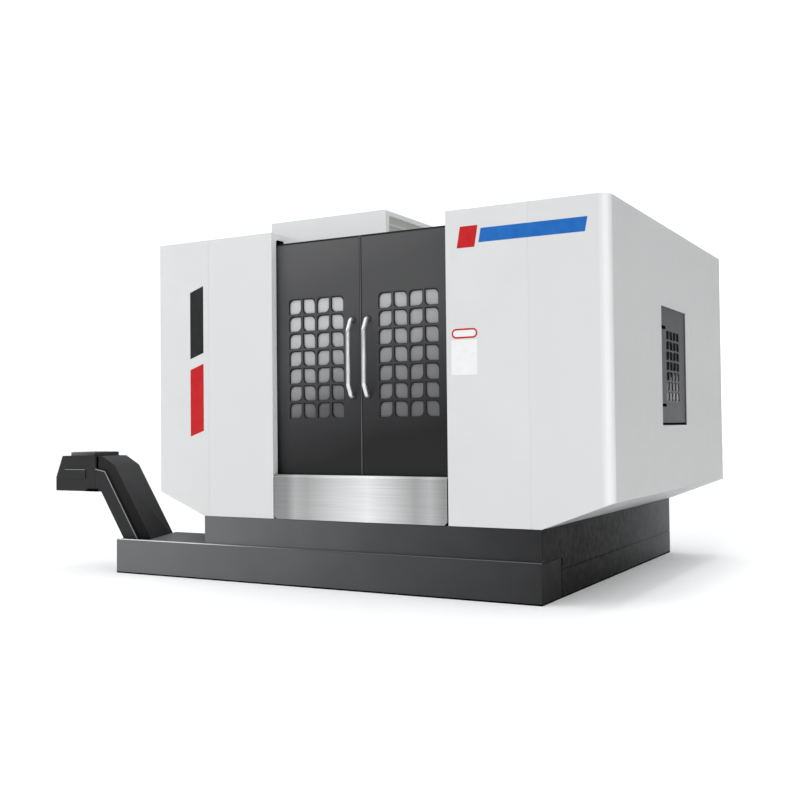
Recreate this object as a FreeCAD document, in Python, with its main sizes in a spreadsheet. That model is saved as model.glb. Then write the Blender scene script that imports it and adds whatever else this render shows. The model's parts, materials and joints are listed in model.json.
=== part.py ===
"""A horizontal machining centre: white sheet-metal enclosure on a cast base, two sliding front
doors, a hinged side hatch, a coolant tank with a chip conveyor that climbs out to the left, and
inside it a travelling column, a headstock with its spindle, a rotary table and a tool magazine.

Millimetres. +Z is up, the doors face -Y and the conveyor leaves towards -X. The origin is on the
floor, under the middle of the whole machine.
"""
import FreeCAD, Part
import math
import os
import re
import Sketcher

doc = FreeCAD.newDocument("MachiningCentre")
V = FreeCAD.Vector

# The driving dimensions. Each becomes one cell of the spreadsheet.
SIZES = {
    # enclosure
    "cabinet_w": 4080, "cabinet_depth": 3500, "cabinet_top": 2900, "side_bottom": 741,
    "sheet": 4, "left_corner_r": 10, "right_corner_r": 85, "panel_seam": 3,
    "left_cab_w": 1214, "right_cab_w": 1263, "left_seam": 547, "right_seam": 598,
    "jamb_depth": 65, "slot_top": 2848, "slot_r": 22,
    "jamb_back": 60, "well_step": 8,
    # base
    "bed_top": 541, "base_split": 213, "foot_h": 12, "base_inset_left": 488,
    "base_inset_right": 522, "base_inset_rear": 28, "bed_front": 3, "foot_r": 55,
    "foot_inset": 60, "bed_overhang": 385, "chute_w": 1400, "chute_front": 45,
    "chute_back": 345, "frame_wall": 120, "bed_skin": 60,
    # coolant tank
    "tank_front": 12, "tank_top": 300, "tank_left": 512, "tank_depth": 395, "tank_wall": 6,
    "tank_lip_r": 9, "tank_gap": 0.5,
    # doors
    "door_setback": 90, "door_t": 45, "door_skin": 12, "door_rim": 30, "door_bottom": 880,
    "door_top": 2813, "door_lap": 40, "door_meet": 12, "rail_room": 40, "slide_gap": 0.3,
    "rail_h": 26, "rail_t": 16, "rail_end_gap": 26, "hanger_w": 60, "hanger_h": 34, "shelf_t": 6,
    "shelf_inset": 12,
    "leaf_w": 120, "leaf_h": 127, "leaf_bar_x": 17, "leaf_bar_z": 15.5, "leaf_r": 33,
    "leaf_rows": 7, "grid_from_meet": 162, "grid_bottom": 1362, "glass_t": 8, "glass_lap": 12,
    "handle_r": 19, "handle_from_meet": 72, "handle_foot_z": 1530, "handle_span": 611,
    "handle_rise": 89, "handle_stand": 80, "handle_bend": 45, "handle_stub": 36,
    # kick panel
    "kick_top": 904, "kick_bevel": 18, "kick_gap": 9, "kick_chamfer": 25, "kick_shelf": 66,
    # hatch in the right side
    "hatch_y": 1330, "hatch_w": 780, "hatch_z": 1274, "hatch_h": 964, "hatch_t": 30,
    "hatch_recess": 14, "hatch_gap": 3, "hatch_frame": 40, "hatch_skin": 10,
    "hatch_leaf_w": 92, "hatch_leaf_h": 72, "hatch_bar_y": 13, "hatch_bar_z": 12,
    "hatch_leaf_r": 22, "hatch_grid_y": 190, "hatch_grid_z": 200, "strap_l": 125, "strap_h": 24,
    "strap_t": 12, "strap_lap": 5.5, "strap_low": 163, "strap_high": 794, "pin_r": 4,
    "pin_play": 0.05, "pin_out": 7, "pin_inset": 8, "ear_h": 18, "ear_root": 2, "stop_t": 6,
    "stop_w": 16,
    # roof hood
    "hood_left": 779, "hood_right": 1960, "hood_front": 600, "hood_h": 217, "hood_rim": 62,
    "hood_brow": 44, "hood_edge_r": 12, "hood_inset": 22, "rib_z": 94, "rib_h": 24,
    "rib_out": 8, "rib_slope": 4,
    # rear
    "box_left": 2560, "box_w": 1180, "box_depth": 396, "box_bottom": 760, "box_h": 1880,
    "box_rim": 44, "box_door_t": 26, "box_gap": 6, "box_end_gap": 1, "pivot_in": 16, "pivot_l": 30,
    "pivot_room": 2,
    # chip conveyor
    "conveyor_reach": 1330, "head_l": 507, "head_top": 1042, "head_bottom": 717,
    "head_nose": 842, "head_chamfer": 84, "climb_deg": 56.6, "head_y": 40, "head_back": 385,
    "case_front": 60, "case_back": 370, "case_h": 313, "plate_h": 171,
    "case_wall": 6, "pan_top": 240, "pan_right": 3400, "bend_at": 67, "bend_run": 158,
    "bend_drop": 85, "belt_front": 90, "belt_back": 340, "belt_t": 12, "drum_r": 52, "belt_z": 110,
    "belt_in": 13.8, "belt_end": 120, "drum_x": 1165, "drum_z": 880, "shaft_r": 18, "shaft_end": 2,
    "lid_left": 1150, "lid_right": 850, "side_drop": 116, "side_slope": 22, "chute_in": 40,
    "lid_h": 35, "lid_inset": 15, "plate_left": 1207, "plate_right": 945, "plate_low": 833,
    "plate_high": 918, "plate_t": 10, "discharge_w": 330,
    # column, headstock and spindle
    "spindle_y": 1500, "spindle_z": 1500, "column_x": 500, "column_w": 660, "column_depth": 700,
    "column_top": 2770, "column_wall": 60, "column_floor": 120, "window_side": 150,
    "window_end": 300, "slide_h": 59, "rail_w": 40, "guide_h": 44, "guide_inset": 70,
    "guide_y_from": 560, "guide_y_to": 3300, "shoe_low": 15, "shoe_side": 22, "shoe_l": 140,
    "shoe_inset": 30, "head_shoe_inset": 20,
    "head_block_l": 400, "head_block_w": 440, "head_block_h": 500, "head_rail_gap": 460,
    "rail_foot": 200, "head_rail_high": 2640, "nose_l": 110, "nose_r": 125,
    "spindle_r": 60, "spindle_l": 480, "spindle_out": 30, "taper_r": 35, "taper_end_r": 20,
    "taper_l": 102, "screw_r": 20, "screw_play": 0.05, "screw_up": 30, "nut_w": 100, "nut_gap": 4,
    "head_nut_gap": 6, "head_nut_z": 90, "block_w": 120, "block_l": 60, "block_h": 55,
    "block_inset": 20, "screw_end": 5, "tip_gap": 1, "motor_w": 130, "motor_l": 230, "z_motor_h": 210,
    "z_screw_out": 34, "z_lug_out": 33, "z_plate_back": 80, "z_plate_w": 180, "z_plate_t": 20,
    "z_plate_room": 5,
    # table
    "table_x": 2560, "table_y": 1500, "saddle_l": 800, "saddle_w": 800, "saddle_h": 160,
    "guide_x_from": 1420, "guide_x_to": 3500, "table_r": 330, "table_h": 140,
    "pallet_w": 630, "pallet_h": 100, "pallet_hole_r": 8, "pallet_hole_pitch": 500,
    "hub_r": 90, "hub_h": 40, "slot_w": 18, "slot_h": 30, "slot_pitch": 100,
    # tool magazine
    "magazine_x": 1640, "magazine_y": 2860, "magazine_z": 1760, "magazine_r": 420,
    "magazine_t": 70, "pocket_pcr": 360, "tool_count": 16, "tool_r": 32, "holder_l": 64,
    "shank_r": 12.8, "shank_l": 96, "axle_r": 45, "stand_w": 260, "stand_t": 120, "arm_room": 15,
    "arm_y": 2200, "arm_reach": 300, "arm_t": 50, "arm_w": 90, "arm_hub_r": 70, "arm_post": 150,
}

# Places that several pieces share, worked out from the sizes.
PLACES = {
    "left_edge": "(conveyor_reach - cabinet_w) / 2",
    "right_edge": "left_edge + cabinet_w",
    "front": "(tank_front - cabinet_depth) / 2",
    "rear": "front + cabinet_depth",
    "opening_left": "left_edge + left_cab_w",
    "opening_right": "right_edge - right_cab_w",
    "opening_mid": "(opening_left + opening_right) / 2",
    "base_left": "left_edge + base_inset_left",
    "base_right": "right_edge - base_inset_right",
    "base_rear": "rear - base_inset_rear",
    "tank_y": "front - tank_front",
    "tank_back": "tank_y + tank_depth",
    "door_front": "front + door_setback",
    "door_back": "door_front + door_t",
    "wall_front": "door_back + rail_room",
    "wall_back": "wall_front + sheet",
    "roof_low": "cabinet_top - sheet",
    "rail_low": "door_top - hanger_h - rail_h",
    "well_top": "door_top - well_step",
    "well_back": "front + hood_front",
    "leaf_pitch_x": "leaf_w + leaf_bar_x",
    "leaf_pitch_z": "leaf_h + leaf_bar_z",
    "hatch_pitch_y": "hatch_leaf_w + hatch_bar_y",
    "hatch_pitch_z": "hatch_leaf_h + hatch_bar_z",
    "hatch_front": "front + hatch_y",
    "hatch_back": "hatch_front + hatch_w",
    "hatch_top": "hatch_z + hatch_h",
    "hatch_out": "right_edge - hatch_recess",
    "hatch_in": "hatch_out - hatch_t",
    "pin_x": "hatch_out + pin_out",
    "pin_y": "hatch_front + pin_inset",
    "hood_top": "cabinet_top + hood_h",
    "box_x": "left_edge + box_left",
    "box_right": "box_x + box_w",
    "box_top": "box_bottom + box_h",
    "pan_floor": "foot_h + tank_wall",
    "head_left": "left_edge - conveyor_reach",
    "head_right": "head_left + head_l",
    "drum_at": "left_edge - drum_x",
    "bend_right": "head_right + bend_at + bend_run",
    "bend_z": "head_top - bend_drop",
    "climb_foot": "bend_right + (bend_z - tank_top) / tan(climb_deg)",
    "slide_z": "bed_top + slide_h",
    "head_rail_low": "slide_z + rail_foot",
    "column_left": "left_edge + column_x",
    "column_face": "column_left + column_w",
    "spindle_at": "front + spindle_y",
    "column_y": "spindle_at - column_depth / 2",
    "guide_top": "bed_top + guide_h",
    "head_back_x": "column_face + slide_h",
    "head_front_x": "head_back_x + head_block_l",
    "nose_x": "head_front_x + nose_l",
    "table_at_x": "left_edge + table_x",
    "table_at_y": "front + table_y",
    "saddle_top": "slide_z + saddle_h",
    "table_top": "saddle_top + table_h",
    "pallet_low": "table_top + hub_h",
    "pallet_top": "pallet_low + pallet_h",
    "screw_z": "bed_top + screw_up",
    "screw_x": "(column_left + column_face) / 2",
    "z_screw_x": "column_face + z_screw_out",
    "magazine_at_x": "left_edge + magazine_x",
    "magazine_at_y": "front + magazine_y",
    "holder_x": "magazine_at_x + magazine_t",
    "arm_at_x": "holder_x + holder_l + shank_l + arm_room",
    "arm_at_y": "front + arm_y",
}

sheet_object = doc.addObject("Spreadsheet::Sheet", "Sizes")
for row, (alias, number) in enumerate(SIZES.items(), start=1):
    sheet_object.set(f"A{row}", alias)
    sheet_object.set(f"B{row}", str(number))
    sheet_object.setAlias(f"B{row}", alias)
doc.recompute()

nodes = []


def expression(text):
    """A formula with every place written out and every size pointed at its cell."""
    def swap(match):
        word = match.group(0)
        if word in PLACES:
            return "(" + expression(PLACES[word]) + ")"
        if word in SIZES:
            return "Sizes." + word
        return word
    return re.sub(r"[a-z][a-z_0-9]*", swap, text)


def value(text):
    """The number that a formula gives now."""
    return float(sheet_object.evalExpression(expression(text)))


def bind(item, **formulas):
    """Tie properties of an object to formulas; a double underscore stands for a dot."""
    for name, text in formulas.items():
        item.setExpression(name.replace("__", "."), expression(text))
    return item


def node(item, label):
    """Name a finished sub-part."""
    item.Label = label
    nodes.append(item)
    return item


def box(name, x, y, z):
    """A rectangular block; x, y and z each give where it starts and ends."""
    item = doc.addObject("Part::Box", name)
    bind(item, Length=f"({x[1]}) - ({x[0]})", Width=f"({y[1]}) - ({y[0]})",
         Height=f"({z[1]}) - ({z[0]})")
    return bind(item, Placement__Base__x=x[0], Placement__Base__y=y[0], Placement__Base__z=z[0])


TURNS = {
    "X": FreeCAD.Rotation(V(0, 1, 0), 90),
    "Y": FreeCAD.Rotation(V(1, 0, 0), -90),
    "Z": FreeCAD.Rotation(),
}


def rod(name, axis, at, radius, length, end_radius=None):
    """A cylinder or cone that starts at a point and runs along an axis."""
    if end_radius is None:
        item = doc.addObject("Part::Cylinder", name)
        bind(item, Radius=radius, Height=length)
    else:
        item = doc.addObject("Part::Cone", name)
        bind(item, Radius1=radius, Radius2=end_radius, Height=length)
    item.Placement = FreeCAD.Placement(V(), TURNS[axis])
    return bind(item, Placement__Base__x=at[0], Placement__Base__y=at[1], Placement__Base__z=at[2])


def fuse(name, *pieces):
    item = doc.addObject("Part::MultiFuse", name)
    item.Shapes = list(pieces)
    return item


def cut(name, base, *tools):
    item = doc.addObject("Part::Cut", name)
    item.Base = base
    item.Tool = tools[0] if len(tools) == 1 else group(name + "_tools", *tools)
    return item


def group(name, *pieces):
    """Separate solids that share one node."""
    item = doc.addObject("Part::Compound", name)
    item.Links = list(pieces)
    return item


def body(label):
    return node(doc.addObject("PartDesign::Body", label), label)


def sketch_on(owner, plane, offset, name):
    """A sketch on one of the body's own planes, moved along +X, +Y or +Z by the offset."""
    sketch = owner.newObject("Sketcher::SketchObject", name)
    role = plane + "_Plane"
    sketch.AttachmentSupport = [(next(o for o in owner.Origin.OriginFeatures if o.Role == role), "")]
    sketch.MapMode = "FlatFace"
    sign = "-" if plane == "XZ" else ""
    return bind(sketch, AttachmentOffset__Base__z=f"{sign}({offset})")


def draw(sketch, points, arcs=None):
    """A closed outline. arcs maps a point's index to the radius of the arc that leaves it,
    positive where the arc turns left and negative where it turns right."""
    arcs = arcs or {}
    spots = [V(value(a), value(b), 0) for a, b in points]
    ends = []
    for index, start in enumerate(spots):
        end = spots[(index + 1) % len(spots)]
        if index not in arcs:
            sketch.addGeometry(Part.LineSegment(start, end))
            ends.append((1, 2))
            continue
        radius = value(arcs[index])
        half = (end - start).Length / 2
        rise = abs(radius) - math.sqrt(max(radius ** 2 - half ** 2, 0))
        side = V(end.y - start.y, start.x - end.x, 0).normalize()
        middle = (start + end) / 2 + side * math.copysign(rise, radius)
        sketch.addGeometry(Part.Arc(start, middle, end))
        ends.append((1, 2) if radius > 0 else (2, 1))
    for index in range(len(spots)):
        after = (index + 1) % len(spots)
        sketch.addConstraint(
            Sketcher.Constraint("Coincident", index, ends[index][1], after, ends[after][0]))
    for index, (a, b) in enumerate(points):
        for kind, letter, text, number in (("DistanceX", "x", a, spots[index].x),
                                           ("DistanceY", "y", b, spots[index].y)):
            rule = sketch.addConstraint(
                Sketcher.Constraint(kind, -1, 1, index, ends[index][0], number))
            sketch.renameConstraint(rule, f"{letter}{index}")
            sketch.setExpression(f"Constraints.{letter}{index}", expression(text))
    for index, text in arcs.items():
        radius = abs(value(text))
        rule = sketch.addConstraint(Sketcher.Constraint("Radius", index, radius))
        sketch.renameConstraint(rule, f"r{index}")
        sketch.setExpression(f"Constraints.r{index}", expression(text.lstrip("-")))
    return sketch


def draw_circle(sketch, x, y, radius):
    circle = sketch.addGeometry(Part.Circle(V(value(x), value(y), 0), V(0, 0, 1), value(radius)))
    for kind, where, text in (("DistanceX", (-1, 1, circle, 3), x), ("DistanceY", (-1, 1, circle, 3), y),
                              ("Radius", (circle,), radius)):
        rule = sketch.addConstraint(Sketcher.Constraint(kind, *where, value(text)))
        sketch.setExpression(f"Constraints[{rule}]", expression(text))


def pad(owner, plane, span, points, arcs=None):
    """Add a prism between two offsets along the axis that the plane faces."""
    sketch = draw(sketch_on(owner, plane, span[0], owner.Name + "_outline"), points, arcs)
    feature = owner.newObject("PartDesign::Pad", owner.Name + "_pad")
    feature.Profile = sketch
    feature.Reversed = plane == "XZ"
    bind(feature, Length=f"({span[1]}) - ({span[0]})")
    return feature


def pocket(owner, plane, span, points, arcs=None):
    """Cut a prism away between two offsets along the axis that the plane faces."""
    sketch = draw(sketch_on(owner, plane, span[0], owner.Name + "_hole"), points, arcs)
    feature = owner.newObject("PartDesign::Pocket", owner.Name + "_pocket")
    feature.Profile = sketch
    feature.Reversed = plane != "XZ"
    bind(feature, Length=f"({span[1]}) - ({span[0]})")
    return feature


def rectangle(x, y):
    return [(x[0], y[0]), (x[1], y[0]), (x[1], y[1]), (x[0], y[1])]


def leaf(x, y, radius, lean):
    """A cell with two opposite corners rounded: top left and bottom right, or the other two."""
    low, high = f"({x[0]})", f"({x[1]})"
    bottom, top = f"({y[0]})", f"({y[1]})"
    if lean == "left":
        points = [(low, bottom), (f"{high} - {radius}", bottom), (high, f"{bottom} + {radius}"),
                  (high, top), (f"{low} + {radius}", top), (low, f"{top} - {radius}")]
        return points, {1: radius, 4: radius}
    points = [(f"{low} + {radius}", bottom), (high, bottom), (high, f"{top} - {radius}"),
              (f"{high} - {radius}", top), (low, top), (low, f"{bottom} + {radius}")]
    return points, {2: radius, 5: radius}


def leaf_grid(owner, plane, span, corner, cell, pitch, radius):
    """Four columns of leaf cells; the rounded corners change sides from column to column."""
    for column, lean in ((0, "left"), (1, "right")):
        low = f"{corner[0]} + {column} * {pitch[0]}"
        points, arcs = leaf((low, f"{low} + {cell[0]}"), (corner[1], f"{corner[1]} + {cell[1]}"),
                            radius, lean)
        hole = pocket(owner, plane, span, points, arcs)
        repeat = owner.newObject("PartDesign::LinearPattern", owner.Name + "_grid")
        repeat.Originals = [hole]
        repeat.Direction = (hole.Profile[0], ["H_Axis"])
        repeat.Direction2 = (hole.Profile[0], ["V_Axis"])
        repeat.Occurrences = 2
        bind(repeat, Length=f"2 * {pitch[0]}", Occurrences2="leaf_rows",
             Length2=f"(leaf_rows - 1) * {pitch[1]}")
        owner.Tip = repeat


def slope_corners(side):
    """The two ends of the sloping underside on one side of the enclosure."""
    if side == "left":
        return ("left_edge", "side_bottom"), ("base_left", "bed_top")
    return ("right_edge", "side_bottom"), ("base_right", "bed_top")


# ---------------------------------------------------------------- base and feet
def bays():
    """Where the three bays between the frame's walls and cross members start, and their width."""
    third = "(base_right - base_left - 4 * frame_wall) / 3"
    return [(f"base_left + frame_wall + {bay} * ({third} + frame_wall)", third) for bay in range(3)]


def base_frame():
    """The welded lower frame: a hollow rectangle with two cross members."""
    y0 = "tank_back + tank_gap"
    top = "base_split"
    owner = body("base_frame")
    pad(owner, "XY", ("foot_h", top),
        rectangle(("base_left", "base_right"), (y0, "base_rear")))
    for x0, wide in bays():
        pocket(owner, "XY", ("foot_h", top),
               rectangle((x0, f"{x0} + {wide}"), (f"{y0} + frame_wall", "base_rear - frame_wall")))


def bed():
    """The cast bed: it overhangs the tank at the front, where a chute lets the chips fall."""
    owner = body("bed")
    step = "front + bed_overhang"
    shelf = "tank_top + tank_gap"
    pad(owner, "YZ", ("base_left", "base_right"),
        [("front + bed_front", shelf), (step, shelf), (step, "base_split"),
         ("base_rear", "base_split"), ("base_rear", "bed_top"), ("front + bed_front", "bed_top")])
    pocket(owner, "XY", (shelf, "bed_top"),
           rectangle(("opening_mid - chute_w / 2", "opening_mid + chute_w / 2"),
                     ("front + chute_front", "front + chute_back")))
    y0 = f"{step} + frame_wall"
    deep = f"(base_rear - frame_wall - ({y0}) - frame_wall) / 2"
    for x0, wide in bays():
        for y in (y0, f"{y0} + {deep} + frame_wall"):
            pocket(owner, "XY", ("base_split", "bed_top - bed_skin"),
                   rectangle((x0, f"{x0} + {wide}"), (y, f"{y} + {deep}")))


def levelling_feet():
    pads = []
    for x in ("base_left + foot_inset", "(base_left + base_right) / 2", "base_right - foot_inset"):
        for y in ("tank_back + foot_inset", "base_rear - foot_inset"):
            pads.append(rod("foot", "Z", (x, y, "0"), "foot_r", "foot_h"))
    for x in ("left_edge - tank_left + foot_inset", "base_left", "base_right - foot_inset"):
        pads.append(rod("foot", "Z", (x, "(tank_y + tank_back) / 2", "0"), "foot_r", "foot_h"))
    node(group("feet", *pads), "levelling_feet")


def coolant_tank():
    """An open tank whose front top edge is folded over to a round lip."""
    owner = body("coolant_tank")
    lip = "tank_lip_r"
    pad(owner, "YZ", ("left_edge - tank_left", "base_right"),
        [("tank_y", "foot_h"), ("tank_back", "foot_h"), ("tank_back", "tank_top"),
         (f"tank_y + {lip}", "tank_top"), ("tank_y", f"tank_top - {lip}")], {3: lip})
    wall = "tank_wall"
    pocket(owner, "XY", (f"foot_h + {wall}", "tank_top"),
           rectangle((f"left_edge - tank_left + {wall}", f"base_right - {wall}"),
                     (f"tank_y + {wall} + {lip}", f"tank_back - {wall}")))


# ---------------------------------------------------------------- enclosure panels
def front_panel(side):
    """A front sheet folded back along the doorway, with the slot that the door slides through.

    High up, the fold runs on to the hood as the side of the sunken roof over the doorway.
    """
    owner = body(side + "_front_panel")
    slot_back = "wall_front"
    back = "wall_front + jamb_back"
    near, far, inner = "opening_left", "left_edge + left_seam + panel_seam", "opening_left - sheet"
    if side == "right":
        near, far = "opening_right", "right_edge - right_seam - panel_seam"
        inner = "opening_right + sheet"
    points = [(far, "front"), (near, "front"), (near, back), (inner, back),
              (inner, "front + sheet"), (far, "front + sheet")]
    pad(owner, "XY", ("bed_top", "cabinet_top"), points)
    y0 = "front + jamb_depth"
    span = (inner, near) if side == "left" else (near, inner)
    pocket(owner, "YZ", span,
           [(y0, "bed_top"), (slot_back, "bed_top"), (slot_back, "slot_top"),
            (f"{y0} + slot_r", "slot_top"), (y0, "slot_top - slot_r")], {3: "slot_r"})
    pad(owner, "XY", ("well_top - sheet", "cabinet_top"), rectangle(span, (back, "well_back")))


def corner_cover(side):
    """The rounded front corner: one folded sheet whose foot follows the sloping underside."""
    owner = body(side + "_corner_cover")
    edge, seam, sign = "left_edge", "left_edge + left_seam", "+"
    if side == "right":
        edge, seam, sign = "right_edge", "right_edge - right_seam", "-"
    r = side + "_corner_r"
    y1 = f"front + {r}"
    inner_r = f"({r} - sheet)"
    points = [(edge, y1), (f"{edge} {sign} {r}", "front"), (seam, "front"),
              (seam, "front + sheet"), (f"{edge} {sign} {r}", "front + sheet"),
              (f"{edge} {sign} sheet", y1)]
    arcs = {0: (r if side == "left" else "-" + r),
            4: ("-" + inner_r if side == "left" else inner_r)}
    pad(owner, "XY", ("bed_top", "cabinet_top"), points, arcs)
    outer, base = slope_corners(side)
    drop = (outer[0], "bed_top")
    pocket(owner, "XZ", ("front", y1), [drop, base, outer] if side == "left" else [drop, outer, base])


def side_cover(side):
    owner = body(side + "_side_cover")
    span = ("left_edge", "left_edge + sheet")
    if side == "right":
        span = ("right_edge - sheet", "right_edge")
    pad(owner, "YZ", span, rectangle((f"front + {side}_corner_r", "rear - sheet"),
                                     ("side_bottom", "cabinet_top")))
    if side == "right":
        pocket(owner, "YZ", span, rectangle(("hatch_front", "hatch_back"), ("hatch_z", "hatch_top")))


def underside_cover(side):
    """The sheet that closes the sloping underside from the side panel in to the bed."""
    owner = body(side + "_underside_cover")
    outer, base = slope_corners(side)
    sign = "+" if side == "left" else "-"
    points = [(f"{outer[0]} {sign} sheet", outer[1]), base, (base[0], f"{base[1]} + sheet"),
              (f"{outer[0]} {sign} sheet", f"{outer[1]} + sheet")]
    pad(owner, "XZ", (f"front + {side}_corner_r", "rear - sheet"), points)


def door_wall():
    """The bulkhead behind the doors, with the doorway cut in it."""
    owner = body("door_wall")
    wall = ("left_edge + sheet", "right_edge - sheet")
    low = "side_bottom + sheet"
    pad(owner, "XZ", ("wall_front", "wall_back"),
        [(wall[0], low), ("base_left", "bed_top + sheet"), ("base_right", "bed_top + sheet"),
         (wall[1], low), (wall[1], "roof_low"), (wall[0], "roof_low")])
    pocket(owner, "XZ", ("wall_front", "wall_back"),
           rectangle(("opening_left", "opening_right"), ("door_bottom", "roof_low")))
    for x in (("opening_left - sheet", "opening_left"), ("opening_right", "opening_right + sheet")):
        pocket(owner, "XZ", ("wall_front", "wall_back"), rectangle(x, ("bed_top", "roof_low")))


def door_rails():
    """Guide rails above and below the doors; both run on into the cabinets beside the doorway."""
    x = ("left_edge + sheet + rail_end_gap", "right_edge - sheet - rail_end_gap")
    y = ("wall_front - rail_t", "wall_front")
    upper = box("upper_rail", x, y, ("rail_low", "rail_low + rail_h"))
    low_top = "door_bottom - slide_gap"
    shelf = box("lower_shelf", x, ("door_front + shelf_inset", "wall_front"),
                (f"{low_top} - shelf_t", low_top))
    node(group("rails", upper, shelf), "door_rails")


def kick_panel():
    """The folded stainless panel under the doors."""
    owner = body("kick_panel")
    x = ("opening_left + kick_gap", "opening_right - kick_gap")
    lip = "front + kick_shelf"
    pad(owner, "YZ", x,
        [("front", "bed_top"), ("front + sheet", "bed_top"),
         ("front + sheet", "kick_top - kick_bevel - sheet / 2"),
         ("front + kick_bevel + sheet / 2", "kick_top - sheet"), (lip, "kick_top - sheet"),
         (lip, "kick_top"), ("front + kick_bevel", "kick_top"), ("front", "kick_top - kick_bevel")])
    for start, end in ((x[0], f"{x[0]} + kick_chamfer"), (x[1], f"{x[1]} - kick_chamfer")):
        pocket(owner, "XZ", ("front", "front + sheet"),
               [(start, "bed_top"), (end, "bed_top"), (start, "bed_top + kick_chamfer")])


def roof():
    """The roof sheets round the hood; over the doorway the roof is sunk to just below the doors' top."""
    left_r, right_r = "(left_corner_r - sheet)", "(right_corner_r - sheet)"
    x0, x1 = "left_edge + sheet", "right_edge - sheet"
    y0, y1 = "front + sheet", "well_back"
    owner = body("roof_front")
    pad(owner, "XY", ("roof_low", "cabinet_top"),
        [(f"{x0} + {left_r}", y0), (f"{x1} - {right_r}", y0), (x1, f"{y0} + {right_r}"),
         (x1, y1), (x0, y1), (x0, f"{y0} + {left_r}")], {1: right_r, 5: left_r})
    pocket(owner, "XY", ("roof_low", "cabinet_top"),
           rectangle(("opening_left - sheet", "opening_right + sheet"), (y0, y1)))
    pad(owner, "YZ", ("opening_left", "opening_right"),
        [("wall_front", "rail_low"), ("wall_back", "rail_low"), ("wall_back", "well_top - sheet"),
         (y1, "well_top - sheet"), (y1, "cabinet_top"), (f"{y1} - sheet", "cabinet_top"),
         (f"{y1} - sheet", "well_top"), ("wall_front", "well_top")])
    for name, x in (("roof_left", (x0, "left_edge + hood_left")),
                    ("roof_right", ("left_edge + hood_right - hood_inset", x1))):
        node(box(name, x, (y1, "rear - sheet"), ("roof_low", "cabinet_top")), name)


def hood():
    """The raised cover over the vertical drive, open below, with a framed side panel."""
    owner = body("hood")
    x = ("left_edge + hood_left", "left_edge + hood_right")
    y = ("front + hood_front", "rear - sheet")
    r = "hood_edge_r"
    pad(owner, "XZ", y,
        [(x[0], "cabinet_top"), (x[1], "cabinet_top"), (x[1], f"hood_top - {r}"),
         (f"{x[1]} - {r}", "hood_top"), (f"{x[0]} + {r}", "hood_top"), (x[0], f"hood_top - {r}")],
        {2: r, 4: r})
    pocket(owner, "XZ", (f"{y[0]} + sheet", f"{y[1]} - sheet"),
           rectangle((f"{x[0]} + sheet", f"{x[1]} - hood_inset - sheet"),
                     ("cabinet_top", "hood_top - sheet")))
    pocket(owner, "YZ", (f"{x[1]} - hood_inset - sheet", x[1]),
           rectangle((f"{y[0]} + hood_rim", f"{y[1]} - hood_rim"),
                     ("cabinet_top", "hood_top - hood_brow")))
    panel = body("hood_side_panel")
    face = f"{x[1]} - hood_inset"
    rib = "cabinet_top + rib_z"
    rib_top = f"{rib} + rib_h"
    pad(panel, "XZ", (f"{y[0]} + hood_rim", f"{y[1]} - hood_rim"),
        [(f"{face} - sheet", "cabinet_top"), (face, "cabinet_top"), (face, rib),
         (f"{face} + rib_out", f"{rib} + rib_slope"), (f"{face} + rib_out", f"{rib_top} - rib_slope"),
         (face, rib_top),
         (face, "hood_top - hood_brow"), (f"{face} - sheet", "hood_top - hood_brow")])


def rear_cover():
    owner = body("rear_cover")
    pad(owner, "XZ", ("rear - sheet", "rear"),
        [("left_edge", "side_bottom"), ("base_left", "bed_top"), ("base_right", "bed_top"),
         ("right_edge", "side_bottom"), ("right_edge", "cabinet_top"), ("left_edge", "cabinet_top")])
    pocket(owner, "XZ", ("rear - sheet", "rear"),
           rectangle(("box_x + box_rim", "box_right - box_rim"),
                     ("box_bottom + box_rim", "box_top - box_rim")))


# ---------------------------------------------------------------- doors
def door(side):
    """A sliding door: a hollow panel with a grid of leaf windows, hooked over the upper rail."""
    owner = body(side + "_door")
    if side == "left":
        x0, x1 = "opening_left - door_lap", "opening_mid - door_meet / 2"
        meet, sign = "opening_mid", "-"
        grid_x = "opening_mid - grid_from_meet - 3 * leaf_pitch_x - leaf_w"
    else:
        x0, x1 = "opening_mid + door_meet / 2", "opening_right + door_lap"
        meet, sign = "opening_mid", "+"
        grid_x = "opening_mid + grid_from_meet"
    pad(owner, "XZ", ("door_front", "door_back"), rectangle((x0, x1), ("door_bottom", "door_top")))
    pocket(owner, "XZ", ("door_front + door_skin", "door_back"),
           rectangle((f"{x0} + door_rim", f"{x1} - door_rim"),
                     ("door_bottom + door_rim", "door_top - door_rim")))
    leaf_grid(owner, "XZ", ("door_front", "door_front + door_skin"), (grid_x, "grid_bottom"),
              ("leaf_w", "leaf_h"), ("leaf_pitch_x", "leaf_pitch_z"), "leaf_r")
    hang_z = ("rail_low + rail_h + slide_gap", "door_top")
    for end in (f"{x0}", f"{x1} - hanger_w"):
        hook = owner.newObject("PartDesign::Pad", owner.Name + "_hook")
        hook.Profile = draw(sketch_on(owner, "XZ", "door_back", owner.Name + "_hook_outline"),
                            rectangle((end, f"{end} + hanger_w"), hang_z))
        hook.Reversed = True
        bind(hook, Length="rail_room - slide_gap")
    glass_x = (f"{grid_x} - glass_lap", f"{grid_x} + 3 * leaf_pitch_x + leaf_w + glass_lap")
    glass_z = ("grid_bottom - glass_lap",
               "grid_bottom + (leaf_rows - 1) * leaf_pitch_z + leaf_h + glass_lap")
    y0 = "door_front + door_skin"
    node(box(side + "_door_glass", glass_x, (y0, f"{y0} + glass_t"), glass_z), side + "_door_glass")
    handle(side, f"{meet} {sign} handle_from_meet")


LEG_SHARE = 0.45  # the most of a straight leg that a bend may use up


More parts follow.
